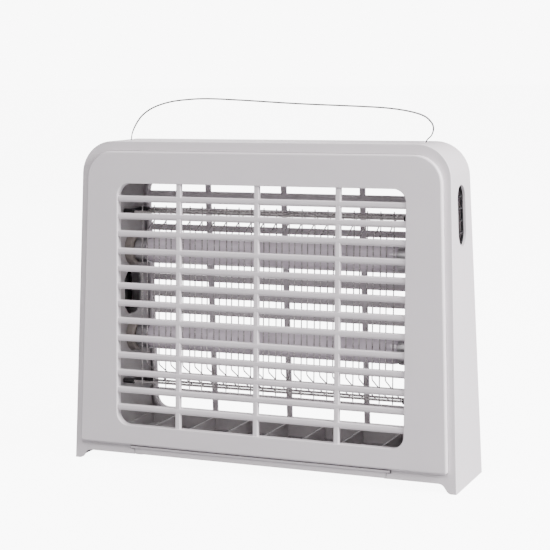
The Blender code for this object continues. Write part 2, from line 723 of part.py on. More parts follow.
def make_inner_grid(metal):
    """Bent wires round the front of both lamps, welded to a rod behind at each end."""
    top_y, top_z = INNER_ROD_TOP
    bottom_y, bottom_z = INNER_ROD_BOTTOM
    corners = [Vector((grid_plane(z) - INNER_AHEAD, z)) for z in (INNER_RUN_TOP, INNER_RUN_BOTTOM)]
    ends = [Vector((top_y, top_z + ROD_RADIUS)), Vector((bottom_y, bottom_z - ROD_RADIUS))]
    tips = [end + (end - corner).normalized() * INNER_TIP for end, corner in zip(ends, corners)]
    outline = [tips[0], *corners, tips[1]]
    wires = []
    count = OUTER_WIRE_COUNT - 1
    for index in range(count):
        x = WIRE_PITCH * (index - (count - 1) / 2)
        wires.append(wire([(x, y, z) for y, z in outline], WIRE_RADIUS))
    rods = joined([grid_rod(top_y, top_z), grid_rod(bottom_y, bottom_z)])
    return place("inner_grid", union(rods, joined(wires)), metal)


# ---------------------------------------------------------------- hanger

def smooth_path(knots, steps):
    """Points on a Catmull-Rom curve through the knots."""
    ends = [knots[0], *knots, knots[-1]]
    points = []
    for before, start, end, after in zip(ends, ends[1:], ends[2:], ends[3:]):
        for step in range(steps):
            t = step / steps
            points.append(tuple(
                0.5 * (2 * b + (c - a) * t + (2 * a - 5 * b + 4 * c - d) * t * t
                       + (3 * b - a - 3 * c + d) * t ** 3)
                for a, b, c, d in zip(before, start, end, after)))
    return points + [knots[-1]]


HANGER_KNOTS = (                # x and z from the left hole over the top to the right hole
    (-0.1520, 0.3118), (-0.1505, 0.3191), (-0.1456, 0.3284), (-0.1384, 0.3367),
    (-0.1267, 0.3438), (-0.1105, 0.3488), (-0.0921, 0.3513), (-0.0674, 0.3523),
    (-0.0300, 0.3507), (0.0265, 0.3474), (0.0893, 0.3448), (0.1158, 0.3432), (0.1361, 0.3403),
    (0.1500, 0.3362), (0.1570, 0.3305), (0.1593, 0.3248), (0.1575, 0.3185), (0.1535, 0.3145),
    (0.1521, 0.3118))


def make_hanger(steel, plain):
    frame = empty("hanger_axis", (0.0, HANGER_Y, HANGER_AXIS))
    arch = [(x, z - HANGER_AXIS) for x, z in smooth_path(HANGER_KNOTS, 3)]
    start = [(-HANGER_X + HANGER_TURN_IN, 0.0), (-HANGER_X + HANGER_BEND, 0.0),
             (-HANGER_X, HANGER_BEND)]
    end = [(HANGER_X, HANGER_BEND), (HANGER_X - HANGER_BEND, 0.0), (HANGER_X - HANGER_TURN_IN, 0.0)]
    points = [(x, 0.0, z) for x, z in start + arch + end]
    place("hanger_wire", wire(points, HANGER_RADIUS, resolution=1), steel, frame)
    bush = block((BUSH_START, HANGER_Y - BUSH_HALF, HANGER_AXIS - BUSH_DROP),
                 (BUSH_END, HANGER_Y + BUSH_HALF, HEIGHT - WALL - GAP))
    bush = cut(bush, round_bar("X", (0, HANGER_Y, HANGER_AXIS), BUSH_START + 0.0015,
                               BUSH_END + 0.0015, HANGER_RADIUS + GAP, 8))
    place("right_hanger_bush", bush, plain)
    place("left_hanger_bush", mirrored(bush), plain)


# ---------------------------------------------------------------- vents and inlet

def make_vents(finish):
    """A ribbed insert behind each side vent, leaning with the side wall."""
    middle = (VENT_BOTTOM + VENT_TOP) / 2
    lean = math.atan(SIDE_LEAN / HEIGHT)
    plate = side_slab([vent_outline(VENT_FLANGE), vent_outline(-0.0006)], -VENT_PLATE, 0.0)
    upright = block((-VENT_PLATE, -VENT_UPRIGHT_WALL / 2, VENT_BOTTOM - 0.001),
                    (0.0, VENT_UPRIGHT_WALL / 2, VENT_TOP + 0.001))
    mesh = union(plate, upright)
    for index in range(VENT_RIBS):
        z = VENT_BOTTOM + (VENT_TOP - VENT_BOTTOM) * (index + 1) / (VENT_RIBS + 1)
        rib = block((-2 * VENT_PLATE, -VENT_WIDTH / 2 - 0.001, z - VENT_RIB_WALL / 2),
                    (0.0, VENT_WIDTH / 2 + 0.001, z + VENT_RIB_WALL / 2))
        mesh = union(mesh, rib)
    x = half_width(middle) - WALL - 0.0006
    mesh.transform(Matrix.Translation((x, 0, middle)) @ Matrix.Rotation(-lean, 4, "Y")
                   @ Matrix.Translation((0, 0, -middle)))
    place("right_vent_insert", mesh, finish)
    place("left_vent_insert", mirrored(mesh), finish)


def inlet_body(margin):
    """The mains inlet's body, which fills a hole low in the left side wall."""
    half_height = INLET_HALF_HEIGHT + margin
    outline = [(y + INLET_Y, z + INLET_Z) for y, z in
               rounded_box_outline(INLET_HALF + margin, -half_height, half_height, INLET_RADIUS)]
    return side_slab([outline], -half_width(INLET_Z) + 0.0006 - 2 * margin, -INLET_BACK)


def make_inlet(dark):
    face = -half_width(INLET_Z)
    wells = [round_bar("X", (0, INLET_Y + side * INLET_PIN_SPACING / 2, INLET_Z), face - 0.01,
                       face + INLET_WELL, INLET_WELL_RADIUS) for side in (-1, 1)]
    return place("mains_inlet", cut(inlet_body(0.0), *wells), dark)


# ---------------------------------------------------------------- electrical pieces

def rounded_block(corners, radius):
    return bevelled(block(*corners), lambda edge: True, radius, 1)


def make_electrics(black, board, varnish, yellow):
    place("high_voltage_transformer", rounded_block(TRANSFORMER, 0.002), black)
    place("multiplier_board", block(*MULTIPLIER_BOARD), board)
    for number, corners in enumerate(MULTIPLIER_CAPACITORS, 1):
        place(f"multiplier_capacitor_{number}", rounded_block(corners, 0.0015), yellow)
    place("ballast_board", block(*BALLAST_BOARD), board)
    place("ballast_choke", rounded_block(BALLAST_CHOKE, 0.001), varnish)
    can = round_bar("X", (0, 0, BALLAST_CAN_HEIGHT), *BALLAST_CAN_ENDS, BALLAST_CAN_RADIUS, 16)
    place("ballast_capacitor", can, black)


# ---------------------------------------------------------------- assembly

def clear_scene():
    for item in list(bpy.data.objects):
        bpy.data.objects.remove(item)
    for collection in list(bpy.data.collections):
        bpy.data.collections.remove(collection)
    bpy.context.scene.collection.children.link(bpy.data.collections.new(COLLECTION_NAME))


def main():
    clear_scene()
    abs_plastic = material("light_grey_abs", (0.60, 0.58, 0.59), 0.42)
    guard_plastic = material("inner_abs", (0.50, 0.49, 0.50), 0.50)
    dark_plastic = material("dark_grey_plastic", (0.10, 0.10, 0.11), 0.45)
    black_plastic = material("black_plastic", (0.012, 0.012, 0.014), 0.40)
    nylon = material("black_nylon", (0.02, 0.02, 0.02), 0.45)
    steel = material("bright_steel", (0.58, 0.58, 0.59), 0.25, 1.0)
    screw_steel = material("zinc_steel", (0.50, 0.51, 0.53), 0.32, 1.0)
    aluminium = material("cap_aluminium", (0.55, 0.55, 0.57), 0.35, 1.0)
    glass = material("lamp_phosphor_glass", (0.62, 0.60, 0.72), 0.12)
    board = material("circuit_board", (0.03, 0.16, 0.07), 0.45)
    varnish = material("copper_varnish", (0.30, 0.09, 0.03), 0.35)
    yellow = material("film_capacitor", (0.55, 0.36, 0.04), 0.40)

    front_frame = empty("front_face", (0.0, -DEPTH_FLOOR / 2, 0.0), (-FACE_LEAN, 0.0, 0.0))
    rear_frame = empty("rear_face", (0.0, DEPTH_FLOOR / 2, 0.0), (-FACE_LEAN, 0.0, math.pi))
    make_housing(abs_plastic)
    make_panels(abs_plastic, front_frame, rear_frame)
    make_screws(screw_steel, rear_frame)
    make_tray(abs_plastic)
    make_guard(guard_plastic)
    make_bottom_covers(abs_plastic)
    make_partitions(guard_plastic, dark_plastic, nylon)
    for level, height in LAMP_HEIGHTS.items():
        make_lamp(level, height, glass, aluminium)
    make_outer_grid(steel)
    make_inner_grid(steel)
    make_hanger(steel, guard_plastic)
    make_vents(black_plastic)
    make_inlet(black_plastic)
    make_electrics(black_plastic, board, varnish, yellow)


main()
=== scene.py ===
"""Looks of the electric bug zapper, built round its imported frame. Metres, +Z up, front faces -Y."""
import math

import bmesh
import bpy
from mathutils import Matrix, Vector


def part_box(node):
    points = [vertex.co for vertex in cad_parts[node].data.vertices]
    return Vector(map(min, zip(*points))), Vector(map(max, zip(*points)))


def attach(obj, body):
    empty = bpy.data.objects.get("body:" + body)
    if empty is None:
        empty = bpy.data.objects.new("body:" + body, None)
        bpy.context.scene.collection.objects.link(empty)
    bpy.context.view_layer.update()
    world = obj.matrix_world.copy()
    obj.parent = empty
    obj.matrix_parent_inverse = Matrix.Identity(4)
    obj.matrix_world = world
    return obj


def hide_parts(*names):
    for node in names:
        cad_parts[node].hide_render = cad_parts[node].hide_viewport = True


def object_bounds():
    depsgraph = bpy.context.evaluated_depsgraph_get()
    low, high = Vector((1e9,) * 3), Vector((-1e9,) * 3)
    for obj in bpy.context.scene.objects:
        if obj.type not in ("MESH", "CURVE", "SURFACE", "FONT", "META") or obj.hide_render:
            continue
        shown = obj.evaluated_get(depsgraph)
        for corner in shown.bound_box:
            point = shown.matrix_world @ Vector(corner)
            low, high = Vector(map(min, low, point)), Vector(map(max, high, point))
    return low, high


bl_info = {
    "name": "Electric Bug Zapper",
    "version": (1, 0, 0),
    "blender": (4, 5, 0),
    "location": "3D View > Sidebar > Bug Zapper",
    "description": "Builds the pieces, finishes and stage of a two-lamp insect killer",
    "category": "Object",
}

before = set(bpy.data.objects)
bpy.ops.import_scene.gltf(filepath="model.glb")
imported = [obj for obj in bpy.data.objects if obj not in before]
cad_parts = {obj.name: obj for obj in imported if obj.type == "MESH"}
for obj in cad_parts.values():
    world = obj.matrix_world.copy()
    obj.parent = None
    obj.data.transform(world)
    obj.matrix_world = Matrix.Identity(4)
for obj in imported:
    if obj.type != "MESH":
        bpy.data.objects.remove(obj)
CAD_BOX = [list(corner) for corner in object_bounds()]

MM = 0.001
WELD = 0.00001

# Body
WIDTH = CAD_BOX[1][0] - CAD_BOX[0][0]
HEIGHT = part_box("housing_frame")[1].z
DEPTH_FLOOR = 0.085
DEPTH_TOP = 0.058
SIDE_LEAN = 0.009
UNDERSIDE = 0.0085
FACE_LEAN = math.atan((DEPTH_FLOOR - DEPTH_TOP) / 2 / HEIGHT)
CORNER_RADIUS = 0.031
SEAM = 0.0003

# Panels, in their own leaning frame
PANEL_SIDE_INSET = 0.0072
PANEL_TOP_INSET = 0.009
PANEL_BOTTOM = 0.0178
PANEL_RADIUS = 0.026
PANEL_FOOT_RADIUS = 0.003
PANEL_PROUD = 0.0045
PANEL_BACK = 0.0035
PANEL_WALL = 0.0023
WINDOW_HALF = 0.1462
WINDOW_BOTTOM = 0.0372
BAR_PITCH = 0.0169
BAR_COUNT = 13
BAR_DEPTH = 0.0046
BAR_SUNK = 0.0008               # how far the bars' ends run into the window's wall
WINDOW_TOP = 0.2718
WINDOW_RADIUS = 0.012
UPRIGHT_SPACING = 0.081

# Rear panel screws
SCREW_X = 0.160
SCREW_HEIGHTS = (0.052, 0.268)
SCREW_WELL = 0.0036             # depth of the well that each head sits in
POST_RADIUS = 0.0056
WELL_RADIUS = 0.0040
SCREW_HOLE_RADIUS = 0.0017

# Feet: x of the inner corner on the floor and where the slope meets the underside
FOOT_INNER = 0.1875
FOOT_TOP = 0.1815
FOOT_ROUND = 0.0025
REAR_STEP = 0.004               # from there to the face that closes the rear strip across

# Tray notch in the front strip
TRAY_HALF = 0.1284
TRAY_LIP_HALF = 0.1329
TRAY_SHOULDER = 0.0142
TRAY_SEAM = 0.0007              # extra gap round the lip, so that it reads as a dark line

# Side vents
VENT_WIDTH = 0.025
VENT_BOTTOM = 0.2185
VENT_TOP = 0.274
CUTTER_REACH = 0.3              # well past both side walls

# Mains inlet
INLET_RADIUS = 0.0035
INLET_PIN_OFFSET = 0.0043

# Hanger wire: x and z along its path, the line it swings about, and its slots in the top
HANGER_AXIS = 0.3055
HANGER_X = 0.152
HANGER_Y = 0.006
HANGER_TURN_IN = 0.0055
HANGER_RADIUS = 0.0006          # where the wire turns in its bush and slot
BAIL_RADIUS = 0.0008            # over the body, drawn thicker so that it shows
BAIL_START = 0.005
BAIL_RUN = 0.010
BAIL_SCALE = 0.994              # keeps the thicker wire as low as the real one
SLOT_HALF_WIDTH = 0.003
SLOT_HALF_LENGTH = 0.010
HANGER_KNOTS = (
    (-0.1520, 0.3118), (-0.1505, 0.3191), (-0.1456, 0.3284), (-0.1384, 0.3367),
    (-0.1267, 0.3438), (-0.1105, 0.3488), (-0.0921, 0.3513), (-0.0674, 0.3523),
    (-0.0300, 0.3507), (0.0265, 0.3474), (0.0893, 0.3448), (0.1158, 0.3432), (0.1361, 0.3403),
    (0.1500, 0.3362), (0.1570, 0.3305), (0.1593, 0.3248), (0.1575, 0.3185), (0.1535, 0.3145),
    (0.1521, 0.3118))

# Stage: the camera, the floor and the lights
VIEW_TURN = math.radians(23.057)
CAMERA_PLACE = (0.5761, -1.3435, 0.3807)
CAMERA_DIP = math.radians(5.125)
CAMERA_ROLL = -0.011
CAMERA_LENS = 101.02            # millimetres, on a 36 mm wide sensor
CAMERA_SHIFT = -0.1244
WORLD_LIGHT = 0.13
BACKDROP_GLOW = 9.0
FLOOR_GLOW = 8.6
SOFTBOXES = (                   # name, place, width and height, watts
    ("side_softbox", (2.5, -0.3, 1.3), (1.3, 1.3), 230.0),
    ("front_softbox", (0.3, -2.0, 2.4), (1.6, 1.2), 68.0),
    ("top_softbox", (0.0, 0.3, 2.2), (2.0, 2.0), 18.0),
    ("rear_softbox", (-1.6, 2.3, 1.9), (1.6, 1.6), 42.0))
SOFTBOX_TINT = (1.0, 0.975, 0.988)
SOFTBOX_TARGET = (0.0, 0.0, 0.16)

# Electrode grids, which lean with the front face
WIRE_COUNT = 21
WIRE_PITCH = 0.0129
ROD_RADIUS = 0.0012
ROD_END = 0.1420
OUTER_TOP_Y = -0.0157
OUTER_ROD_TOP = 0.2427
OUTER_ROD_BOTTOM = 0.0763
OUTER_STUB_BOTTOM = 0.0034      # how far the wires run on past each rod
OUTER_STUB_TOP = 0.0068
INNER_AHEAD = 0.0028
INNER_RUN_TOP = 0.2255
INNER_RUN_BOTTOM = 0.0950
INNER_ROD_TOP = (0.0150, 0.2422)
INNER_ROD_BOTTOM = (0.0193, 0.0693)
INNER_TIP = 0.0015

# Lamps, caps and holders: how far from the middle each part starts or ends
TUBE_END = 0.1292
CAP_BACK = 0.1295
CAP_FACE = 0.1420
HOLDER_FACE = 0.1423
HOLDER_BACK = 0.158
PIN_SPACING = 0.0127
FILAMENT = (0.112, 0.131)       # where the tube's coating darkens


def linear(code):
    """An sRGB hex colour as linear red, green, blue and alpha."""
    values = []
    for start in (1, 3, 5):
        part = int(code[start:start + 2], 16) / 255
        values.append(part / 12.92 if part <= 0.04045 else ((part + 0.055) / 1.055) ** 2.4)
    return (*values, 1.0)


def half_width(z):
    return WIDTH / 2 - SIDE_LEAN * z / HEIGHT


def half_depth(z):
    return DEPTH_FLOOR / 2 - (DEPTH_FLOOR - DEPTH_TOP) / 2 * z / HEIGHT


# -------- settings a user may change

def length_property(title, words, default, low, high):
    """A size with its limits, given in millimetres."""
    return bpy.props.FloatProperty(
        name=title, description=words, default=default * MM, min=low * MM, max=high * MM,
        subtype="DISTANCE", unit="LENGTH")


def colour_property(title, words, code):
    return bpy.props.FloatVectorProperty(
        name=title, description=words, default=linear(code), size=4, min=0.0, max=1.0,
        subtype="COLOR")


class ZapperSizes(bpy.types.PropertyGroup):
    wall: length_property("Wall", "Thickness of the body's moulded wall", 2.6, 1.2, 3.5)
    body_edge: length_property(
        "Body Edge", "Rounding of the edge between front strip and side wall", 0.8, 0.2, 2.5)
    panel_edge: length_property(
        "Panel Edge", "Rounding round the outside of each raised panel", 2.2, 0.5, 3.0)
    window_edge: length_property(
        "Window Edge", "Rounding of the lip round each window", 0.6, 0.2, 2.0)
    bar_height: length_property(
        "Bar Height", "Height of the level bars of each grille", 6.2, 3.0, 9.0)
    upright_width: length_property(
        "Upright Width", "Width of the upright bars of each grille", 5.0, 2.0, 8.0)
    bar_setback: length_property(
        "Bar Setback", "How far the bars lie behind the panel's face", 0.9, 0.2, 3.0)
    wire_radius: length_property(
        "Grid Wire Radius", "Radius of the electrode wires", 0.62, 0.3, 0.8)


class ZapperColours(bpy.types.PropertyGroup):
    body: colour_property("Body", "Light grey ABS of the body, panels and tray", "#DDD8DB")
    # Darker than the body's colour: painted shade on the same plastic inside the body.
    inner: colour_property("Inner Parts", "ABS of the partitions and guard", "#ACA9AA")
    holder: colour_property("Lampholders", "Heat-proof plastic of the lampholders", "#8C8580")
    nylon: colour_property("Insulators", "Black nylon bars that hold the grids", "#2A292B")
    lamp: colour_property("Lamp Tube", "Coated glass of the lamps", "#E9E0EA")
    # This black also goes on the vent inserts, where it is painted shade inside the vents.
    inlet: colour_property("Inlet", "Black plastic of the mains inlet", "#17171A")
    potting: colour_property("Potting", "Black epoxy of the transformer", "#121214")
    board: colour_property("Circuit Board", "Green solder mask", "#1F5A38")
    film: colour_property("Film Capacitors", "Yellow tape of the film capacitors", "#C99A2E")
    floor: colour_property("Floor", "Pale studio floor", "#A6A6A8")


# -------- materials

def add(tree, kind, inputs=None, **settings):
    """Add a node. Settings are its own choices; inputs are constants or other nodes' outputs."""
    made = tree.nodes.new(kind)
    for name, value in settings.items():
        setattr(made, name, value)
    for name, value in (inputs or {}).items():
        if isinstance(value, bpy.types.NodeSocket):
            tree.links.new(value, made.inputs[name])
        else:
            made.inputs[name].default_value = value
    return made


def start_material(name, roughness, metallic=0.0, ior=1.5):
    """A material with one Principled shader, its tree, the shader and Object coordinates."""
    finish = bpy.data.materials.new(name)
    finish.use_nodes = True
    tree = finish.node_tree
    shader = tree.nodes["Principled BSDF"]
    shader.inputs["Roughness"].default_value = roughness
    shader.inputs["Metallic"].default_value = metallic
    if not metallic:
        shader.inputs["IOR"].default_value = ior
    place_on = add(tree, "ShaderNodeTexCoord").outputs["Object"]
    return finish, tree, shader, place_on


def noise(tree, place_on, size, detail=2.0):
    """Noise whose blobs are about size metres across."""
    return add(tree, "ShaderNodeTexNoise", {"Vector": place_on, "Scale": 1.0 / size,
                                            "Detail": detail})


def tinted(tree, shader, factor, colour, low, high):
    """Colour the shader with shades of one colour, from low to high times its brightness."""
    dark = (colour[0] * low, colour[1] * low, colour[2] * low, 1.0)
    light = tuple(min(part * high, 1.0) for part in colour[:3]) + (1.0,)
    ramp = add(tree, "ShaderNodeValToRGB", {"Fac": factor})
    ramp.color_ramp.elements[0].position = 0.3
    ramp.color_ramp.elements[0].color = dark
    ramp.color_ramp.elements[1].position = 0.7
    ramp.color_ramp.elements[1].color = light
    tree.links.new(ramp.outputs["Color"], shader.inputs["Base Color"])
    return ramp


def relief(tree, shader, height, depth, strength=1.0):
    bump = add(tree, "ShaderNodeBump", {"Height": height, "Distance": depth,
                                        "Strength": strength})
    tree.links.new(bump.outputs["Normal"], shader.inputs["Normal"])
    return bump


def varied_roughness(tree, shader, factor, low, high):
    spread = add(tree, "ShaderNodeMapRange", {"Value": factor, "From Min": 0.3,
                                              "From Max": 0.7, "To Min": low, "To Max": high})
    tree.links.new(spread.outputs["Result"], shader.inputs["Roughness"])


def moulded_plastic(name, colour, roughness, grain, depth, low=0.985, high=1.01):
    """Injection moulding: a fine spark-eroded grain and very slight flow variation."""
    finish, tree, shader, place_on = start_material(name, roughness)
    flow = noise(tree, place_on, 45 * MM, 3.0)
    skin = noise(tree, place_on, grain, 2.0)
    tinted(tree, shader, flow.outputs["Fac"], colour, low, high)
    varied_roughness(tree, shader, skin.outputs["Fac"], roughness - 0.05, roughness + 0.05)
    relief(tree, shader, skin.outputs["Fac"], depth, 0.6)
    return finish


def drawn_metal(name, code, roughness, streak, depth=0.01 * MM):
    """Drawn or rolled metal: fine streaks along X."""
    finish, tree, shader, place_on = start_material(name, roughness, metallic=1.0)
    stretched = add(tree, "ShaderNodeMapping", {"Vector": place_on, "Scale": (0.08, 1.0, 1.0)})
    lines = noise(tree, stretched.outputs["Vector"], streak, 3.0)
    tinted(tree, shader, lines.outputs["Fac"], linear(code), 0.82, 1.08)
    varied_roughness(tree, shader, lines.outputs["Fac"], roughness - 0.07, roughness + 0.09)
    relief(tree, shader, lines.outputs["Fac"], depth, 0.4)
    return finish


def coated_glass(name, colour):
    """Blacklight tube: smooth glass over a pale violet powder, darker where the filaments are."""
    finish, tree, shader, place_on = start_material(name, 0.12, ior=1.52)
    cloud = noise(tree, place_on, 9 * MM, 4.0)
    along = add(tree, "ShaderNodeSeparateXYZ", {"Vector": place_on})
    out = add(tree, "ShaderNodeMath", {0: along.outputs["X"]}, operation="ABSOLUTE")
    burnt = add(tree, "ShaderNodeMapRange", {"Value": out.outputs["Value"],
                                             "From Min": FILAMENT[0], "From Max": FILAMENT[1],
                                             "To Min": 0.0, "To Max": 0.35})
    ramp = tinted(tree, shader, cloud.outputs["Fac"], colour, 0.96, 1.0)
    mixed = add(tree, "ShaderNodeMix", {"Factor": burnt.outputs["Result"]}, data_type="RGBA")
    tree.links.new(ramp.outputs["Color"], mixed.inputs["A"])
    mixed.inputs["B"].default_value = linear("#5E5866")
    tree.links.new(mixed.outputs["Result"], shader.inputs["Base Color"])
    shader.inputs["Coat Weight"].default_value = 0.6
    shader.inputs["Coat Roughness"].default_value = 0.04
    return finish


def solder_mask(name, colour):
    """Circuit board: glossy green lacquer with faint tracks under it."""
    finish, tree, shader, place_on = start_material(name, 0.32)
    tracks = add(tree, "ShaderNodeTexBrick", {"Vector": place_on, "Scale": 1.0 / (9 * MM),
                                              "Mortar Size": 0.06})
    tracks.inputs["Color1"].default_value = colour
    tracks.inputs["Color2"].default_value = (colour[0] * 0.9, colour[1] * 0.9, colour[2] * 0.9, 1)
    tracks.inputs["Mortar"].default_value = tuple(part * 1.6 for part in colour[:3]) + (1.0,)
    tree.links.new(tracks.outputs["Color"], shader.inputs["Base Color"])
    relief(tree, shader, tracks.outputs["Fac"], 0.03 * MM, 0.5)
    return finish


def make_materials(colours):
    """Every finish on the object, by the record's slot names and a few that have no slot."""
    return {
        # ABS with a satin spark-eroded skin: soft broad highlights and no visible pattern
        "body_abs": moulded_plastic("Moulded ABS", tuple(colours.body), 0.40, 0.5 * MM, 0.02 * MM),
        # the same plastic left matt inside, its colour darkened as painted shade for the inside of
        # the body
        "inner_abs": moulded_plastic("Matt ABS with painted shade", tuple(colours.inner), 0.55, 0.7 * MM, 0.03 * MM,
                                     0.95, 1.02),
        # polybutylene terephthalate, glass filled: grainy and dull
        "holder_plastic": moulded_plastic("Glass-filled PBT", tuple(colours.holder), 0.48,
                                          0.6 * MM, 0.03 * MM, 0.92, 1.03),
        "insulator_nylon": moulded_plastic("Black nylon", tuple(colours.nylon), 0.45, 0.8 * MM,
                                           0.02 * MM, 0.96, 1.02),
        # nickel-plated drawn wire: bright core with dark edges
        "electrode_steel": drawn_metal("Nickel-plated steel wire", "#D2CECD", 0.24, 0.6 * MM),
        # hard spring wire: greyer
        "hanger_steel": drawn_metal("Spring steel wire", "#6E6D6F", 0.40, 0.5 * MM),
        "lamp_glass": coated_glass("Phosphor-coated glass", tuple(colours.lamp)),
        "cap_aluminium": drawn_metal("Drawn aluminium", "#B9B8BA", 0.34, 0.7 * MM),
        "screw_steel": drawn_metal("Zinc-plated steel", "#B4B6BB", 0.35, 0.8 * MM),
        # black PBT of the inlet; on the vent inserts its black is painted shade inside the vents
        "inlet_plastic": moulded_plastic("Black PBT", tuple(colours.inlet), 0.42, 0.6 * MM,
                                         0.02 * MM),
        "potting_epoxy": moulded_plastic("Potting epoxy", tuple(colours.potting), 0.22, 6 * MM,
                                         0.2 * MM),
        "circuit_board": solder_mask("Solder mask", tuple(colours.board)),
        "capacitor_film": moulded_plastic("Polyester tape", tuple(colours.film), 0.25, 1.5 * MM,
                                          0.05 * MM, 0.93, 1.04),
        # enamelled copper winding: glossy, brown, ridged by its turns
        "choke_varnish": drawn_metal("Enamelled copper", "#A2552F", 0.30, 0.5 * MM),
        "brass": drawn_metal("Brass", "#C9A760", 0.28, 0.6 * MM),
        # fired ferrite: dull charcoal
        "ferrite": moulded_plastic("Ferrite", linear("#3A393B"), 0.6, 0.6 * MM, 0.05 * MM,
                                   0.9, 1.05),
        "epoxy_body": moulded_plastic("Moulded epoxy", linear("#1B1B1D"), 0.35, 0.5 * MM,
                                      0.01 * MM),
        "cap_disc": moulded_plastic("Phenolic disc", linear("#7C746C"), 0.5, 0.8 * MM, 0.03 * MM),
    }


# -------- shapes

def evaluated_mesh(source):
    """The mesh that an object evaluates to; the object is then removed."""
    bpy.context.view_layer.update()
    graph = bpy.context.evaluated_depsgraph_get()
    mesh = bpy.data.meshes.new_from_object(source.evaluated_get(graph))
    mesh.transform(source.matrix_world)
    data = source.data
    bpy.data.objects.remove(source)
    if isinstance(data, bpy.types.Curve):
        bpy.data.curves.remove(data)
    return mesh


def passing(name, data):
    """An object that is used once and then removed."""
    holder = bpy.data.objects.new(name, data)
    bpy.context.scene.collection.objects.link(holder)
    return holder


def as_mesh(shape):
    mesh = bpy.data.meshes.new("shape")
    shape.to_mesh(mesh)
    shape.free()
    return mesh


def as_shape(mesh):
    shape = bmesh.new()
    shape.from_mesh(mesh)
    bpy.data.meshes.remove(mesh)
    return shape


def with_modifier(shape, kind, **settings):
    """A shape after one modifier."""
    holder = passing("step", as_mesh(shape))
    step = holder.modifiers.new("step", kind)
    for name, value in settings.items():
        setattr(step, name, value)
    return as_shape(evaluated_mesh(holder))


def boolean(shape, other, operation="DIFFERENCE"):
    """Cut a second closed shape from the first, or join it on."""
    tool = passing("tool", as_mesh(other))
    made = with_modifier(shape, "BOOLEAN", operation=operation, solver="EXACT", object=tool)
    bpy.data.objects.remove(tool)
    close(made)
    return made


def close(shape):
    """Merge doubles and turn the faces outwards."""
    bmesh.ops.remove_doubles(shape, verts=shape.verts, dist=WELD)
    bmesh.ops.dissolve_degenerate(shape, dist=WELD, edges=shape.edges)
    bmesh.ops.recalc_face_normals(shape, faces=shape.faces)


def round_edges(shape, edges, radius, segments=3):
    bmesh.ops.bevel(shape, geom=edges, offset=radius, offset_type="OFFSET", segments=segments,
                    profile=0.5, affect="EDGES", material=-1, clamp_overlap=False)


def round_corner(shape, corner, radius, segments=8):
    bmesh.ops.bevel(shape, geom=[corner], offset=radius, offset_type="OFFSET",
                    segments=segments, profile=0.5, affect="VERTICES", material=-1,
                    clamp_overlap=False)


def new_verts(made):
    """The vertices that an extrusion made."""
    return [item for item in made["geom"] if isinstance(item, bmesh.types.BMVert)]


def sharp_edges(shape, degrees=35):
    return [edge for edge in shape.edges
            if edge.is_manifold and edge.calc_face_angle() > math.radians(degrees)]


def within(shape, node):
    """Press the few vertices that stand above or below a CAD node's box back onto its top or bottom.
    """
    low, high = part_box(node)
    for vert in shape.verts:
        vert.co.z = min(max(vert.co.z, low.z), high.z)


def solid_box(low, high, radius=0.0, segments=2):
    """A box between two corners with its edges rounded."""
    low, high = Vector(low), Vector(high)
    shape = bmesh.new()
    bmesh.ops.create_cube(shape, size=1.0)
    bmesh.ops.scale(shape, verts=shape.verts, vec=high - low)
    bmesh.ops.translate(shape, verts=shape.verts, vec=(low + high) / 2)
    if radius:
        round_edges(shape, list(shape.edges), radius, segments)
    return shape


TURN_TO = {"X": Matrix.Rotation(math.radians(90), 4, "Y"),
           "Y": Matrix.Rotation(math.radians(-90), 4, "X"),
           "Z": Matrix.Identity(4)}


def lathe(profile, steps=32):
    """A solid of revolution about Z from a few (radius, height) points, closed at both ends."""
    shape = bmesh.new()
    verts = [shape.verts.new((radius, 0.0, height)) for radius, height in profile]
    edges = [shape.edges.new(pair) for pair in zip(verts, verts[1:])]
    bmesh.ops.spin(shape, geom=verts + edges, axis=(0, 0, 1), cent=(0, 0, 0),
                   angle=math.radians(360), steps=steps, use_merge=True)
    close(shape)
    return shape


def turned(shape, axis, centre):
    """Turn a shape made about Z to another axis and move it."""
    matrix = Matrix.Translation(centre) @ TURN_TO[axis]
    bmesh.ops.transform(shape, matrix=matrix, verts=shape.verts)
    return shape


def round_bar(axis, centre, start, end, radius, steps=16, rounding=0.0):
    """A bar along an axis with rounded rims; centre is its place on the other two axes."""
    shape = bmesh.new()
    bmesh.ops.create_cone(shape, cap_ends=True, segments=steps, radius1=radius, radius2=radius,
                          depth=end - start)
    if rounding:
        rims = [edge for edge in shape.edges if abs(edge.verts[0].co.z - edge.verts[1].co.z) < WELD]
        round_edges(shape, rims, rounding, 2)
    shift = Vector(centre)
    shift["XYZ".index(axis)] = (start + end) / 2
    return turned(shape, axis, shift)


def together(*shapes):
    """Several closed shapes as one mesh of separate shells."""
    whole = bmesh.new()
    for shape in shapes:
        mesh = as_mesh(shape)
        whole.from_mesh(mesh)
        bpy.data.meshes.remove(mesh)
    return whole


def copies(shape, count, step):
    """A row of copies, each moved on by step."""
    mesh = as_mesh(shape)
    whole = bmesh.new()
    for index in range(count):
        start = len(whole.verts)
        whole.from_mesh(mesh)
        whole.verts.ensure_lookup_table()
        bmesh.ops.translate(whole, verts=whole.verts[start:], vec=Vector(step) * index)
    bpy.data.meshes.remove(mesh)
    return whole


def mirrored(shape):
    """The shape on the other side of x = 0."""
    bmesh.ops.scale(shape, verts=shape.verts, vec=(-1, 1, 1))
    bmesh.ops.reverse_faces(shape, faces=shape.faces)
    return shape


def swept(points, radius, resolution=2, swell=None):
    """A round wire along a path; swell gives each point's own share of the radius."""
    data = bpy.data.curves.new("path", "CURVE")
    data.dimensions = "3D"
    spline = data.splines.new("POLY")
    spline.points.add(len(points) - 1)
    for knot, point, share in zip(spline.points, points, swell or [1.0] * len(points)):
        knot.co = (*point, 1.0)
        knot.radius = share
    data.bevel_depth = radius
    data.bevel_resolution = resolution
    data.use_fill_caps = True
    shape = as_shape(evaluated_mesh(passing("path", data)))
    close(shape)
    return shape


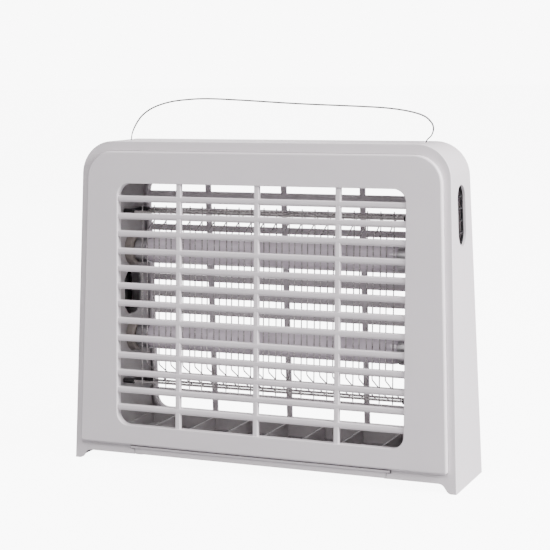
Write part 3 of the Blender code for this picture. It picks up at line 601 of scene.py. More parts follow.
def smooth_path(knots, steps):
    """Points on a Catmull-Rom curve through the knots."""
    ends = [knots[0], *knots, knots[-1]]
    points = []
    for before, start, end, after in zip(ends, ends[1:], ends[2:], ends[3:]):
        for step in range(steps):
            t = step / steps
            points.append(tuple(
                0.5 * (2 * b + (c - a) * t + (2 * a - 5 * b + 4 * c - d) * t * t
                       + (3 * b - a - 3 * c + d) * t ** 3)
                for a, b, c, d in zip(before, start, end, after)))
    return points + [knots[-1]]


def merged_copy(node):
    """A CAD node's mesh as a shape with whole faces."""
    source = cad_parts[node]
    mesh = source.data.copy()
    mesh.transform(source.matrix_world)
    shape = as_shape(mesh)
    bmesh.ops.remove_doubles(shape, verts=shape.verts, dist=WELD)
    bmesh.ops.dissolve_limit(shape, angle_limit=math.radians(0.5), verts=shape.verts,
                             edges=shape.edges)
    return shape


def moulding(node, radius, segments=2, degrees=35):
    """A CAD node with its sharp edges rounded."""
    shape = merged_copy(node)
    round_edges(shape, sharp_edges(shape, degrees), radius, segments)
    return shape


def finish_piece(name, shape, finish, body, nodes=(), sharp=32):
    """Make one piece of the object: its mesh, finish, body and the CAD nodes it stands for."""
    mesh = as_mesh(shape)
    mesh.name = name
    mesh.materials.clear()
    mesh.materials.append(finish)
    mesh.shade_smooth()
    mesh.set_sharp_from_angle(angle=math.radians(sharp))
    piece = bpy.data.objects.new(name, mesh)
    bpy.context.scene.collection.objects.link(piece)
    even = piece.modifiers.new("Even normals", "WEIGHTED_NORMAL")
    even.keep_sharp = True
    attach(piece, body)
    if nodes:
        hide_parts(*nodes)
    return piece


MATERIALS = {}


def piece_in(slot, name, shape, body="housing", nodes=(), sharp=32):
    return finish_piece(name, shape, MATERIALS[slot], body, nodes, sharp)


def rounded_node(slot, name, node, radius):
    """A piece that is a CAD node with its sharp edges rounded."""
    piece_in(slot, name, moulding(node, radius), nodes=[node])


# -------- body shell

def strip_face(shape, side, notched):
    """One face strip of the inverted U; side is -1 for the front. Returns its outer corners."""
    low = PANEL_BOTTOM - SEAM
    panel_low = half_width(low) - PANEL_SIDE_INSET + SEAM
    panel_high = half_width(HEIGHT) - PANEL_SIDE_INSET + SEAM
    panel_top = (HEIGHT - PANEL_TOP_INSET + SEAM) * math.cos(FACE_LEAN)
    radius = PANEL_RADIUS + SEAM
    if notched:
        narrow, wide = TRAY_HALF + TRAY_SEAM, TRAY_LIP_HALF + TRAY_SEAM
        shoulder = TRAY_SHOULDER - TRAY_SEAM
        middle = [(narrow, UNDERSIDE, 0), (narrow, shoulder, 0), (wide, shoulder, 0),
                  (wide, low, 0)]
    else:
        middle = [(FOOT_TOP - REAR_STEP, UNDERSIDE, 0), (FOOT_TOP - REAR_STEP, low, 0)]
    right = [(half_width(HEIGHT), HEIGHT, 0), (half_width(0), 0, 0),
             (FOOT_INNER, 0, FOOT_ROUND), (FOOT_TOP, UNDERSIDE, PANEL_FOOT_RADIUS), *middle,
             (panel_low, low, PANEL_FOOT_RADIUS), (panel_high, panel_top, radius)]
    path = right + [(-x, z, rounding) for x, z, rounding in reversed(right)]
    verts = [shape.verts.new((x, side * half_depth(z), z)) for x, z, rounding in path]
    shape.faces.new(verts)
    if not notched:
        left = len(right)
        joins = (4, 5, 2 * left - 6, 2 * left - 5)
        shape.faces.new([verts[index] for index in joins])
    for vert, (x, z, rounding) in zip(verts, path):
        if rounding:
            round_corner(shape, vert, rounding, 14 if rounding > 10 * MM else 5)
    return verts[1], verts[0], verts[-1], verts[-2]


def vent_cutter():
    """A tall slot with round ends, through both side walls."""
    radius = VENT_WIDTH / 2
    shape = bmesh.new()
    corners = [(-radius, VENT_BOTTOM), (radius, VENT_BOTTOM), (radius, VENT_TOP),
               (-radius, VENT_TOP)]
    verts = [shape.verts.new((-CUTTER_REACH, y, z)) for y, z in corners]
    shape.faces.new(verts)
    for vert in verts:
        round_corner(shape, vert, radius * 0.999, 12)
    shape.faces.ensure_lookup_table()
    made = bmesh.ops.extrude_face_region(shape, geom=[shape.faces[0]])
    bmesh.ops.translate(shape, verts=new_verts(made), vec=(2 * CUTTER_REACH, 0, 0))
    close(shape)
    return shape


def body_shell(sizes):
    """The inverted U: face strips front and rear, top and side walls, all one thin wall."""
    shape = bmesh.new()
    front = strip_face(shape, -1, notched=True)
    rear = strip_face(shape, 1, notched=False)
    walls = [shape.faces.new((front[i], front[i + 1], rear[i + 1], rear[i])) for i in range(3)]
    long_edges = [edge for edge in walls[1].edges
                  if abs(edge.verts[0].co.x - edge.verts[1].co.x) < WELD]
    bmesh.ops.recalc_face_normals(shape, faces=shape.faces)
    round_edges(shape, long_edges, CORNER_RADIUS, 18)
    round_edges(shape, sharp_edges(shape, 60), sizes.body_edge, 4)
    shape.faces.ensure_lookup_table()
    top = max(shape.faces, key=lambda face: face.calc_center_median().z)
    if top.normal.z < 0:
        bmesh.ops.reverse_faces(shape, faces=shape.faces)
    shape = with_modifier(shape, "SOLIDIFY", thickness=sizes.wall, offset=-1.0,
                          use_even_offset=True, use_quality_normals=True)
    close(shape)
    shape = boolean(shape, vent_cutter())
    through = 10 * MM
    for x in (-HANGER_X, HANGER_X):
        shape = boolean(shape, solid_box(
            (x - SLOT_HALF_WIDTH, HANGER_Y - SLOT_HALF_LENGTH, HEIGHT - through),
            (x + SLOT_HALF_WIDTH, HANGER_Y + SLOT_HALF_LENGTH, HEIGHT + through),
            SLOT_HALF_WIDTH * 0.98, 5))
    inlet_low, inlet_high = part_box("mains_inlet")
    hole = solid_box((-WIDTH, inlet_low.y - SEAM, inlet_low.z - SEAM),
                     (-WIDTH / 2 + 15 * MM, inlet_high.y + SEAM, inlet_high.z + SEAM),
                     INLET_RADIUS, 5)
    shape = boolean(shape, hole)
    lips = [edge for edge in sharp_edges(shape, 60)
            if all(abs(vert.co.x) > half_width(vert.co.z) - 0.2 * MM
                   and abs(vert.co.y) < VENT_WIDTH and vert.co.z > 20 * MM
                   for vert in edge.verts)]
    round_edges(shape, lips, 0.5 * MM, 2)
    within(shape, "housing_frame")
    return shape


# -------- panels

def face_loop(shape, corners, radii, segments):
    """One upright face in X and Z from a few corners, each rounded."""
    verts = [shape.verts.new((x, -PANEL_PROUD, z)) for x, z in corners]
    shape.faces.new(verts)
    for vert, radius in zip(verts, radii):
        round_corner(shape, vert, radius, segments)
    shape.faces.ensure_lookup_table()


def skirted(shape, back):
    """Give the shape's boundary a wall that runs back; return the edges it turns on."""
    rim = [edge for edge in shape.edges if edge.is_boundary]
    made = bmesh.ops.extrude_edge_only(shape, edges=rim)
    for vert in new_verts(made):
        vert.co.y = back
    return [edge for edge in shape.edges if not edge.is_boundary
            and all(abs(vert.co.y + PANEL_PROUD) < WELD for vert in edge.verts)
            and edge.calc_face_angle() > math.radians(45)]


def panel_skin(sizes):
    """The raised plate with its outer wall and the wall round its window."""
    low, high = PANEL_BOTTOM, HEIGHT - PANEL_TOP_INSET
    wide_low = half_width(low) - PANEL_SIDE_INSET
    wide_high = half_width(high) - PANEL_SIDE_INSET
    outer = bmesh.new()
    face_loop(outer, [(-wide_low, low), (wide_low, low), (wide_high, high), (-wide_high, high)],
              [PANEL_FOOT_RADIUS, PANEL_FOOT_RADIUS, PANEL_RADIUS, PANEL_RADIUS], 12)
    round_edges(outer, skirted(outer, PANEL_BACK), sizes.panel_edge, 5)
    plate = max(outer.faces, key=lambda face: face.calc_area())
    bmesh.ops.delete(outer, geom=[plate], context="FACES_ONLY")

    ring = bmesh.new()
    face_loop(ring, [(-WINDOW_HALF, WINDOW_BOTTOM), (WINDOW_HALF, WINDOW_BOTTOM),
                     (WINDOW_HALF, WINDOW_TOP), (-WINDOW_HALF, WINDOW_TOP)],
              [WINDOW_RADIUS] * 4, 10)
    window = ring.faces[0]
    inner_verts = list(window.verts)
    bmesh.ops.delete(ring, geom=[window], context="FACES_ONLY")
    made = bmesh.ops.extrude_edge_only(ring, edges=ring.edges)
    lip = new_verts(made)
    band = 4 * MM
    middle = (0, 0, -(WINDOW_BOTTOM + WINDOW_TOP) / 2)
    bmesh.ops.scale(ring, verts=lip, space=Matrix.Translation(middle),
                    vec=((WINDOW_HALF + band) / WINDOW_HALF, 1,
                         1 + 2 * band / (WINDOW_TOP - WINDOW_BOTTOM)))
    inner = set(inner_verts)
    hole = [edge for edge in ring.edges if set(edge.verts) <= inner]
    made = bmesh.ops.extrude_edge_only(ring, edges=hole)
    for vert in new_verts(made):
        vert.co.y = PANEL_BACK
    corners = [edge for edge in ring.edges if edge.is_manifold
               and edge.calc_face_angle() > math.radians(45)]
    bmesh.ops.recalc_face_normals(ring, faces=ring.faces)
    round_edges(ring, corners, sizes.window_edge, 4)

    skin = together(outer, ring)
    bmesh.ops.remove_doubles(skin, verts=skin.verts, dist=WELD)
    open_loops = [edge for edge in skin.edges if edge.is_boundary
                  and all(abs(vert.co.y + PANEL_PROUD) < WELD for vert in edge.verts)]
    bmesh.ops.triangle_fill(skin, use_beauty=True, use_dissolve=False, edges=open_loops,
                            normal=(0, -1, 0))
    bmesh.ops.recalc_face_normals(skin, faces=skin.faces)
    skin.faces.ensure_lookup_table()
    plain = max(skin.faces, key=lambda face: face.calc_area())
    if plain.normal.y > 0:
        bmesh.ops.reverse_faces(skin, faces=skin.faces)
    skin = with_modifier(skin, "SOLIDIFY", thickness=PANEL_WALL, offset=-1.0,
                         use_even_offset=True, use_quality_normals=True)
    close(skin)
    return skin


def grille_bar(low, high, top_round, low_round):
    """A moulded bar: its front lower edge is rounder than its upper edge, so it sheds light."""
    bar = solid_box(low, high)
    across = 2 if high[0] - low[0] > high[2] - low[2] else 0
    for level, radius, segments in ((high[across], top_round, 4), (low[across], low_round, 5)):
        edge = [edge for edge in bar.edges
                if all(vert.co.y < low[1] + WELD and abs(vert.co[across] - level) < WELD
                       for vert in edge.verts)]
        round_edges(bar, edge, radius, segments)
    return bar


def grille(sizes):
    """13 level bars and 3 uprights across the window, their ends sunk in its wall."""
    front = -PANEL_PROUD + sizes.bar_setback
    back = front + BAR_DEPTH
    reach = WINDOW_HALF + BAR_SUNK
    bars = []
    for index in range(BAR_COUNT):
        z = WINDOW_BOTTOM + BAR_PITCH * (index + 1)
        bars.append(grille_bar((-reach, front, z - sizes.bar_height / 2),
                               (reach, back, z + sizes.bar_height / 2), 1.3 * MM, 3.0 * MM))
    for x in (-UPRIGHT_SPACING, 0.0, UPRIGHT_SPACING):
        bars.append(grille_bar((x - sizes.upright_width / 2, front + 0.15 * MM,
                                WINDOW_BOTTOM - BAR_SUNK),
                               (x + sizes.upright_width / 2, back - 0.3 * MM,
                                WINDOW_TOP + BAR_SUNK), 0.9 * MM, 0.9 * MM))
    return together(*bars)


def leaning(shape, rear):
    """Turn a shape from a panel's own frame to the object's."""
    turn = Matrix.Rotation(math.pi, 4, "Z") if rear else Matrix.Identity(4)
    matrix = (turn @ Matrix.Translation((0, -DEPTH_FLOOR / 2, 0))
              @ Matrix.Rotation(-FACE_LEAN, 4, "X"))
    bmesh.ops.transform(shape, matrix=matrix, verts=shape.verts)
    return shape


def rear_wells(skin):
    """Round wells for the four screws, with posts behind them."""
    for x in (-SCREW_X, SCREW_X):
        for z in SCREW_HEIGHTS:
            floor = -PANEL_PROUD + SCREW_WELL
            post = round_bar("Y", (x, 0, z), -PANEL_PROUD + 1.0 * MM, PANEL_BACK, POST_RADIUS, 32)
            well = round_bar("Y", (x, 0, z), -20 * MM, floor, WELL_RADIUS, 32)
            hole = round_bar("Y", (x, 0, z), -10 * MM, 20 * MM, SCREW_HOLE_RADIUS, 24)
            skin = boolean(boolean(boolean(skin, post, "UNION"), well), hole)
    return skin


def screw_shape():
    """A pan-head screw with a cross recess, its head's back at y = 0 and its face towards -Y."""
    head = lathe([(0.0, 2.0 * MM), (1.6 * MM, 1.95 * MM), (2.7 * MM, 1.6 * MM),
                  (3.3 * MM, 1.0 * MM), (3.5 * MM, 0.4 * MM), (3.5 * MM, 0.0), (1.4 * MM, 0.0),
                  (1.4 * MM, -11 * MM), (0.4 * MM, -12 * MM), (0.0, -12 * MM)], 32)
    turned(head, "Y", (0, 0, 0))
    bmesh.ops.scale(head, verts=head.verts, vec=(1, -1, 1))
    bmesh.ops.reverse_faces(head, faces=head.faces)
    for low, high in (((-2.1, -3, -0.35), (2.1, -0.9, 0.35)),
                      ((-0.35, -3, -2.1), (0.35, -0.9, 2.1))):
        head = boolean(head, solid_box(Vector(low) * MM, Vector(high) * MM))
    return head


class ZAPPER_OT_body(bpy.types.Operator):
    """Build the body shell, the two panels with their grilles, and the rear screws"""
    bl_idname = "zapper.body"
    bl_label = "Body and Panels"

    def execute(self, context):
        sizes = context.scene.zapper_sizes
        piece_in("body_abs", "body_shell", body_shell(sizes), nodes=["housing_frame"])
        front = together(panel_skin(sizes), grille(sizes))
        piece_in("body_abs", "front_grille_panel", leaning(front, rear=False),
                 nodes=["front_panel"])
        rear = together(rear_wells(panel_skin(sizes)), grille(sizes))
        piece_in("body_abs", "rear_grille_panel", leaning(rear, rear=True), nodes=["rear_panel"])
        number = 1
        for x in (-SCREW_X, SCREW_X):
            for z in SCREW_HEIGHTS:
                screw = screw_shape()
                seat = -PANEL_PROUD + SCREW_WELL - SEAM
                bmesh.ops.translate(screw, verts=screw.verts, vec=(x, seat, z))
                piece_in("screw_steel", f"panel_screw_{number}", leaning(screw, rear=True),
                         nodes=[f"rear_panel_screw_{number}"])
                number += 1
        return {"FINISHED"}


# -------- tray, guard, covers, vents

class ZAPPER_OT_tray(bpy.types.Operator):
    """Build the sliding tray"""
    bl_idname = "zapper.tray"
    bl_label = "Collecting Tray"

    def execute(self, context):
        shape = merged_copy("collecting_tray")
        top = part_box("collecting_tray")[1].z
        near = 0.1 * MM
        for vert in shape.verts:
            if vert.co.z > top - near:
                vert.co.z -= TRAY_SEAM
            if abs(vert.co.x) > TRAY_LIP_HALF - near:
                vert.co.x -= math.copysign(TRAY_SEAM, vert.co.x)
        round_edges(shape, sharp_edges(shape), 0.25 * MM, 2)
        piece_in("body_abs", "tray_moulding", shape, body="tray", nodes=["collecting_tray"])
        return {"FINISHED"}


class ZAPPER_OT_mouldings(bpy.types.Operator):
    """Build the guard, bottom covers, vent inserts and hanger bushes"""
    bl_idname = "zapper.mouldings"
    bl_label = "Inner Mouldings"

    def execute(self, context):
        rounded_node("inner_abs", "guard_moulding", "bottom_guard", 0.3 * MM)
        for side in ("left", "right"):
            rounded_node("body_abs", f"{side}_cover_moulding", f"{side}_bottom_cover", 0.5 * MM)
            # Painted shade: the vent inserts take the black inlet plastic, whose black stands in for
            # the shade inside the vents.
            rounded_node("inlet_plastic", f"{side}_vent_moulding_painted_shade", f"{side}_vent_insert",
                         0.25 * MM)
            rounded_node("inner_abs", f"{side}_bush_moulding", f"{side}_hanger_bush", 0.4 * MM)
        return {"FINISHED"}


# -------- partitions and holders

def holder_shape(node):
    """A rotary lampholder: barrel with a rounded rim, pin slot, rotor and flange."""
    low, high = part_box(node)
    z = (low.z + high.z) / 2
    face, back = HOLDER_FACE, HOLDER_BACK
    barrel = lathe([(0.0, back - 0.001), (15.4 * MM, back - 0.001), (15.4 * MM, face + 0.004),
                    (15.6 * MM, face + 0.003), (15.5 * MM, face + 0.0012),
                    (14.8 * MM, face + 0.0003), (14.2 * MM, face), (11.6 * MM, face),
                    (11.2 * MM, face + 0.0008), (9.6 * MM, face + 0.0008), (9.0 * MM, face),
                    (9.0 * MM, face + 0.0082), (0.0, face + 0.0082)], 56)
    turned(barrel, "X", (0, 0, z))
    slot = solid_box((face - 0.01, 0.0, z - 0.0017), (face + 0.0082, 0.03, z + 0.0017))
    barrel = boolean(barrel, slot)
    flange = solid_box((face + 0.010, -0.017, z - 0.0185), (back, 0.017, z + 0.0185), 0.7 * MM, 3)
    rotor = lathe([(0.0, face + 0.0083), (7.4 * MM, face + 0.0083), (7.4 * MM, face + 0.0076),
                   (7.0 * MM, face + 0.0074), (0.0, face + 0.0074)], 40)
    turned(rotor, "X", (0, 0, z))
    return together(barrel, flange, rotor)


class ZAPPER_OT_partitions(bpy.types.Operator):
    """Build the partitions, lampholders and grid insulators"""
    bl_idname = "zapper.partitions"
    bl_label = "Partitions and Holders"

    def execute(self, context):
        for side in ("left", "right"):
            rounded_node("inner_abs", f"{side}_wall_moulding", f"{side}_partition", 0.3 * MM)
            for level in ("upper", "lower"):
                shape = holder_shape(f"{level}_right_lampholder")
                if side == "left":
                    shape = mirrored(shape)
                piece_in("holder_plastic", f"{level}_{side}_holder", shape,
                         nodes=[f"{level}_{side}_lampholder"])
            for level in ("top", "bottom"):
                rounded_node("insulator_nylon", f"{level}_{side}_insulator",
                             f"{level}_{side}_grid_insulator", 0.4 * MM)
        return {"FINISHED"}


# -------- lamps

def tube_shape(z):
    """A glass tube that necks in slightly under each cap."""
    end = TUBE_END
    profile = [(0.0, -end), (11.6 * MM, -end), (12.4 * MM, -end + 0.004),
               (12.8 * MM, -end + 0.009), (12.8 * MM, end - 0.009), (12.4 * MM, end - 0.004),
               (11.6 * MM, end), (0.0, end)]
    return turned(lathe(profile, 64), "X", (0, 0, z))


def cap_shapes(z, side):
    """A lamp cap: drawn shell with a rolled shoulder, disc, and two pins."""
    back, face = CAP_BACK, CAP_FACE
    shell = lathe([(0.0, back), (12.9 * MM, back), (13.0 * MM, back + 0.0004),
                   (13.0 * MM, back + 0.0095), (12.6 * MM, back + 0.0115),
                   (11.6 * MM, back + 0.0123), (9.6 * MM, back + 0.0125),
                   (9.4 * MM, back + 0.0119), (0.0, back + 0.0119)], 64)
    turned(shell, "X", (0, 0, z))
    disc = lathe([(0.0, face - 0.0007), (9.0 * MM, face - 0.0007), (9.0 * MM, face - 0.0002),
                  (8.6 * MM, face), (0.0, face)], 48)
    turned(disc, "X", (0, 0, z))
    pins = []
    for offset in (-PIN_SPACING / 2, PIN_SPACING / 2):
        pins.append(round_bar("X", (0, 0, z + offset), face - 0.0005, face + 0.0068,
                              1.15 * MM, 20, 0.45 * MM))
    shapes = [shell, disc, together(*pins)]
    return [mirrored(shape) for shape in shapes] if side == "left" else shapes


class ZAPPER_OT_lamps(bpy.types.Operator):
    """Build both lamp tubes with their caps and pins"""
    bl_idname = "zapper.lamps"
    bl_label = "Lamps"

    def execute(self, context):
        for level in ("upper", "lower"):
            low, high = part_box(f"{level}_lamp_tube")
            z = (low.z + high.z) / 2
            body = f"{level}_lamp"
            piece_in("lamp_glass", f"{level}_glass_tube", tube_shape(z), body,
                     [f"{level}_lamp_tube"])
            for side in ("left", "right"):
                shell, disc, pins = cap_shapes(z, side)
                piece_in("cap_aluminium", f"{level}_{side}_cap_shell", shell, body,
                         [f"{level}_{side}_lamp_cap"])
                finish_piece(f"{level}_{side}_cap_disc", disc, MATERIALS["cap_disc"], body)
                finish_piece(f"{level}_{side}_cap_pins", pins, MATERIALS["brass"], body)
        return {"FINISHED"}


# -------- electrode grids

def grid_plane(z):
    """Depth of the plane through the outer grid's rods, which leans with the front face."""
    return OUTER_TOP_Y - (OUTER_ROD_TOP - z) * math.tan(FACE_LEAN)


def grid_rods(*places):
    return [round_bar("X", (0, y, z), -ROD_END, ROD_END, ROD_RADIUS, 20, 0.4 * MM)
            for y, z in places]


def wire_row(path, radius, count):
    """A row of equal wires, centred on x = 0."""
    wire = swept(path, radius, resolution=2)
    bmesh.ops.translate(wire, verts=wire.verts, vec=(-WIRE_PITCH * (count - 1) / 2, 0, 0))
    return copies(wire, count, (WIRE_PITCH, 0, 0))


def outer_grid(radius):
    """Straight wires welded to the front of two rods."""
    ahead = ROD_RADIUS - 0.3 * MM
    heights = (OUTER_ROD_BOTTOM - OUTER_STUB_BOTTOM, OUTER_ROD_TOP + OUTER_STUB_TOP)
    wires = wire_row([(0.0, grid_plane(z) - ahead, z) for z in heights], radius, WIRE_COUNT)
    return together(wires, *grid_rods((OUTER_TOP_Y, OUTER_ROD_TOP),
                                      (grid_plane(OUTER_ROD_BOTTOM), OUTER_ROD_BOTTOM)))


def inner_grid(radius):
    """Bent wires round the front of both lamps, welded to a rod behind at each end."""
    bends = [Vector((0.0, grid_plane(z) - INNER_AHEAD, z))
             for z in (INNER_RUN_TOP, INNER_RUN_BOTTOM)]
    ends = [Vector((0.0, INNER_ROD_TOP[0], INNER_ROD_TOP[1] + ROD_RADIUS)),
            Vector((0.0, INNER_ROD_BOTTOM[0], INNER_ROD_BOTTOM[1] - ROD_RADIUS))]
    path = []
    for end, bend, other in zip(ends, bends, reversed(bends)):
        out = (end - bend).normalized()
        along = (other - bend).normalized()
        half = [end + out * INNER_TIP, bend + out * 2 * MM, bend + (out + along) * 0.5 * MM,
                bend + along * 2 * MM]
        path += half if end is ends[0] else half[::-1]
    return together(wire_row(path, radius, WIRE_COUNT - 1),
                    *grid_rods(INNER_ROD_TOP, INNER_ROD_BOTTOM))


class ZAPPER_OT_grids(bpy.types.Operator):
    """Build the outer and inner electrode grids"""
    bl_idname = "zapper.grids"
    bl_label = "Electrode Grids"

    def execute(self, context):
        radius = context.scene.zapper_sizes.wire_radius
        piece_in("electrode_steel", "outer_wire_grid", outer_grid(radius), nodes=["outer_grid"],
                 sharp=50)
        piece_in("electrode_steel", "inner_wire_grid", inner_grid(radius), nodes=["inner_grid"],
                 sharp=50)
        return {"FINISHED"}


# -------- hanger

class ZAPPER_OT_hanger(bpy.types.Operator):
    """Build the springy hanger wire"""
    bl_idname = "zapper.hanger"
    bl_label = "Hanger Wire"

    def execute(self, context):
        bend, middle = 1.4 * MM, 0.4 * MM
        start = [(-HANGER_X + HANGER_TURN_IN, HANGER_AXIS), (-HANGER_X + bend, HANGER_AXIS),
                 (-HANGER_X + middle, HANGER_AXIS + middle), (-HANGER_X, HANGER_AXIS + bend)]
        end = [(-x, z) for x, z in reversed(start)]
        path = start + smooth_path(HANGER_KNOTS, 10) + end
        lowered = [(x, HANGER_Y, HANGER_AXIS + (z - HANGER_AXIS) * BAIL_SCALE) for x, z in path]
        swell = [1.0 + (BAIL_RADIUS / HANGER_RADIUS - 1.0)
                 * min(max((z - HEIGHT - BAIL_START) / BAIL_RUN, 0.0), 1.0) for x, y, z in lowered]
        shape = swept(lowered, HANGER_RADIUS, resolution=3, swell=swell)
        within(shape, "hanger_wire")
        piece_in("hanger_steel", "hanger_bail", shape, "hanger", ["hanger_wire"], sharp=60)
        return {"FINISHED"}


# -------- electrical pieces

def choke_parts(low, high):
    """A ferrite core of two plates and a middle leg, and the ridged winding between them."""
    middle = (low + high) / 2
    plate = 2.2 * MM
    core = together(solid_box(low, (high.x, low.y + plate, high.z), 0.4 * MM),
                    solid_box((low.x, high.y - plate, low.z), high, 0.4 * MM),
                    solid_box((low.x + 2 * MM, low.y + plate / 2, middle.z - 3 * MM),
                              (high.x - 2 * MM, high.y - plate / 2, middle.z + 3 * MM)))
    turns = 12
    pitch = (high.y - low.y - 2 * plate - 1 * MM) / turns
    start = low.y + plate + 0.5 * MM
    turn = solid_box((low.x + 0.8 * MM, start, low.z + 2 * MM),
                     (high.x - 0.8 * MM, start + pitch, high.z - 2 * MM), pitch * 0.45, 3)
    return core, copies(turn, turns, (0, pitch, 0))


def board_components(low, high, side):
    """Two rows of small diodes on the board's face that looks to x = 0."""
    radius, half_length, rows, margin = 1.2 * MM, 2.2 * MM, 4, 3.5 * MM
    face = high.x if side < 0 else low.x
    x = face - side * (radius + 0.1 * MM)
    parts = []
    for row in range(rows):
        z = low.z + (high.z - low.z) * (row + 0.5) / rows
        for y in (low.y + margin, high.y - margin):
            parts.append(round_bar("Z", (x, y, 0), z - half_length, z + half_length, radius, 16,
                                   0.3 * MM))
    return together(*parts)


class ZAPPER_OT_electrics(bpy.types.Operator):
    """Build the inlet, transformer, boards, capacitors and choke"""
    bl_idname = "zapper.electrics"
    bl_label = "Electrical Pieces"

    def execute(self, context):
        plain = {"mains_inlet": ("inlet_plastic", 0.3), "multiplier_board": ("circuit_board", 0.2),
                 "ballast_board": ("circuit_board", 0.2),
                 "high_voltage_transformer": ("potting_epoxy", 0.4),
                 "multiplier_capacitor_1": ("capacitor_film", 0.4),
                 "multiplier_capacitor_2": ("capacitor_film", 0.4),
                 "ballast_capacitor": ("potting_epoxy", 0.3)}
        for node, (slot, radius) in plain.items():
            rounded_node(slot, f"{node}_detail", node, radius * MM)
        core, winding = choke_parts(*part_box("ballast_choke"))
        piece_in("choke_varnish", "choke_winding", winding, nodes=["ballast_choke"])
        finish_piece("choke_core", core, MATERIALS["ferrite"], "housing")
        for node, side in (("multiplier_board", -1), ("ballast_board", 1)):
            diodes = board_components(*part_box(node), side)
            finish_piece(f"{node}_diodes", diodes, MATERIALS["epoxy_body"], "housing")
        low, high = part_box("mains_inlet")
        middle = (low + high) / 2
        start, end = low.x + 1.5 * MM, low.x + 10 * MM
        pins = [round_bar("X", (0, y, middle.z), start, end, 1.1 * MM, 20, 0.5 * MM)
                for y in (middle.y - INLET_PIN_OFFSET, middle.y + INLET_PIN_OFFSET)]
        finish_piece("mains_inlet_pins", together(*pins), MATERIALS["brass"], "housing")
        return {"FINISHED"}


# -------- stage

def area_light(name, place_at, size, watts):
    """A soft box that looks at the object's middle."""
    data = bpy.data.lights.new(name, "AREA")
    data.shape = "RECTANGLE"
    data.size, data.size_y = size
    data.energy = watts
    data.color = SOFTBOX_TINT
    lamp = bpy.data.objects.new(name, data)
    bpy.context.scene.collection.objects.link(lamp)
    lamp.location = place_at
    aim = Vector(SOFTBOX_TARGET) - Vector(place_at)
    lamp.rotation_euler = aim.to_track_quat("-Z", "Y").to_euler()


def studio_world(ambient, backdrop):
    """Even soft light, with a brighter backdrop where the camera looks past the floor."""
    world = bpy.data.worlds.new("Studio")
    world.use_nodes = True
    tree = world.node_tree
    tree.nodes.clear()
    path = add(tree, "ShaderNodeLightPath")
    strength = add(tree, "ShaderNodeMapRange", {"Value": path.outputs["Is Camera Ray"],
                                                "To Min": ambient, "To Max": backdrop})
    glow = add(tree, "ShaderNodeBackground", {"Color": (1.0, 1.0, 1.0, 1.0),
                                              "Strength": strength.outputs["Result"]})
    add(tree, "ShaderNodeOutputWorld", {"Surface": glow.outputs["Background"]})
    bpy.context.scene.world = world


def studio_floor(colour, glow):
    """A plain pale floor that glows for the camera only, so that it is as light as the backdrop."""
    shape = bmesh.new()
    bmesh.ops.create_circle(shape, cap_ends=True, segments=64, radius=30.0)
    floor = bpy.data.objects.new("studio_floor", as_mesh(shape))
    bpy.context.scene.collection.objects.link(floor)
    finish = bpy.data.materials.new("Pale floor")
    finish.use_nodes = True
    tree = finish.node_tree
    shader = tree.nodes["Principled BSDF"]
    shader.inputs["Base Color"].default_value = colour
    shader.inputs["Roughness"].default_value = 0.7
    shader.inputs["Emission Color"].default_value = (1.0, 1.0, 1.0, 1.0)
    path = add(tree, "ShaderNodeLightPath")
    strength = add(tree, "ShaderNodeMath", {0: path.outputs["Is Camera Ray"], 1: glow},
                   operation="MULTIPLY")
    tree.links.new(strength.outputs["Value"], shader.inputs["Emission Strength"])
    floor.data.materials.append(finish)


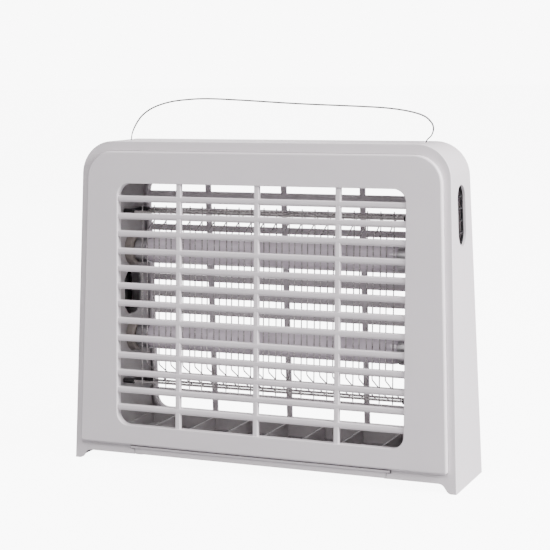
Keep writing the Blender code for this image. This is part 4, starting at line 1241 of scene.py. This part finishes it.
class ZAPPER_OT_stage(bpy.types.Operator):
    """Make the camera, the floor and the studio light"""
    bl_idname = "zapper.stage"
    bl_label = "Stage"

    def execute(self, context):
        data = bpy.data.cameras.new("Camera")
        data.lens = CAMERA_LENS
        data.sensor_width = 36.0
        data.shift_y = CAMERA_SHIFT
        data.clip_end = 100.0
        camera = bpy.data.objects.new("Camera", data)
        context.scene.collection.objects.link(camera)
        turn = (Matrix.Rotation(VIEW_TURN, 4, "Z")
                @ Matrix.Rotation(math.radians(90) - CAMERA_DIP, 4, "X")
                @ Matrix.Rotation(CAMERA_ROLL, 4, "Z"))
        camera.matrix_world = Matrix.Translation(CAMERA_PLACE) @ turn
        context.scene.camera = camera

        studio_world(WORLD_LIGHT, BACKDROP_GLOW)
        studio_floor(tuple(context.scene.zapper_colours.floor), FLOOR_GLOW)
        for name, place_at, size, watts in SOFTBOXES:
            area_light(name, place_at, size, watts)
        return {"FINISHED"}


class ZAPPER_OT_finishes(bpy.types.Operator):
    """Make every material of the object"""
    bl_idname = "zapper.finishes"
    bl_label = "Finishes"

    def execute(self, context):
        MATERIALS.update(make_materials(context.scene.zapper_colours))
        return {"FINISHED"}


class ZAPPER_PT_panel(bpy.types.Panel):
    """Lists the build steps with the sizes and colours that they read"""
    bl_idname = "ZAPPER_PT_panel"
    bl_label = "Electric Bug Zapper"
    bl_space_type = "VIEW_3D"
    bl_region_type = "UI"
    bl_category = "Bug Zapper"

    def draw(self, context):
        column = self.layout.column(align=True)
        for operator in OPERATORS:
            column.operator(operator.bl_idname)
        for settings in (context.scene.zapper_sizes, context.scene.zapper_colours):
            box = self.layout.box()
            for name in settings.__annotations__:
                box.prop(settings, name)


OPERATORS = (ZAPPER_OT_stage, ZAPPER_OT_finishes, ZAPPER_OT_body, ZAPPER_OT_tray,
             ZAPPER_OT_mouldings, ZAPPER_OT_partitions, ZAPPER_OT_lamps, ZAPPER_OT_grids,
             ZAPPER_OT_hanger, ZAPPER_OT_electrics)
CLASSES = (ZapperSizes, ZapperColours, *OPERATORS, ZAPPER_PT_panel)


def register():
    for kind in CLASSES:
        bpy.utils.register_class(kind)
    bpy.types.Scene.zapper_sizes = bpy.props.PointerProperty(type=ZapperSizes)
    bpy.types.Scene.zapper_colours = bpy.props.PointerProperty(type=ZapperColours)


def unregister():
    del bpy.types.Scene.zapper_colours
    del bpy.types.Scene.zapper_sizes
    for kind in reversed(CLASSES):
        bpy.utils.unregister_class(kind)


def main():
    register()
    for operator in OPERATORS:
        group, name = operator.bl_idname.split(".")
        getattr(getattr(bpy.ops, group), name)()


if __name__ == "__main__":
    main()
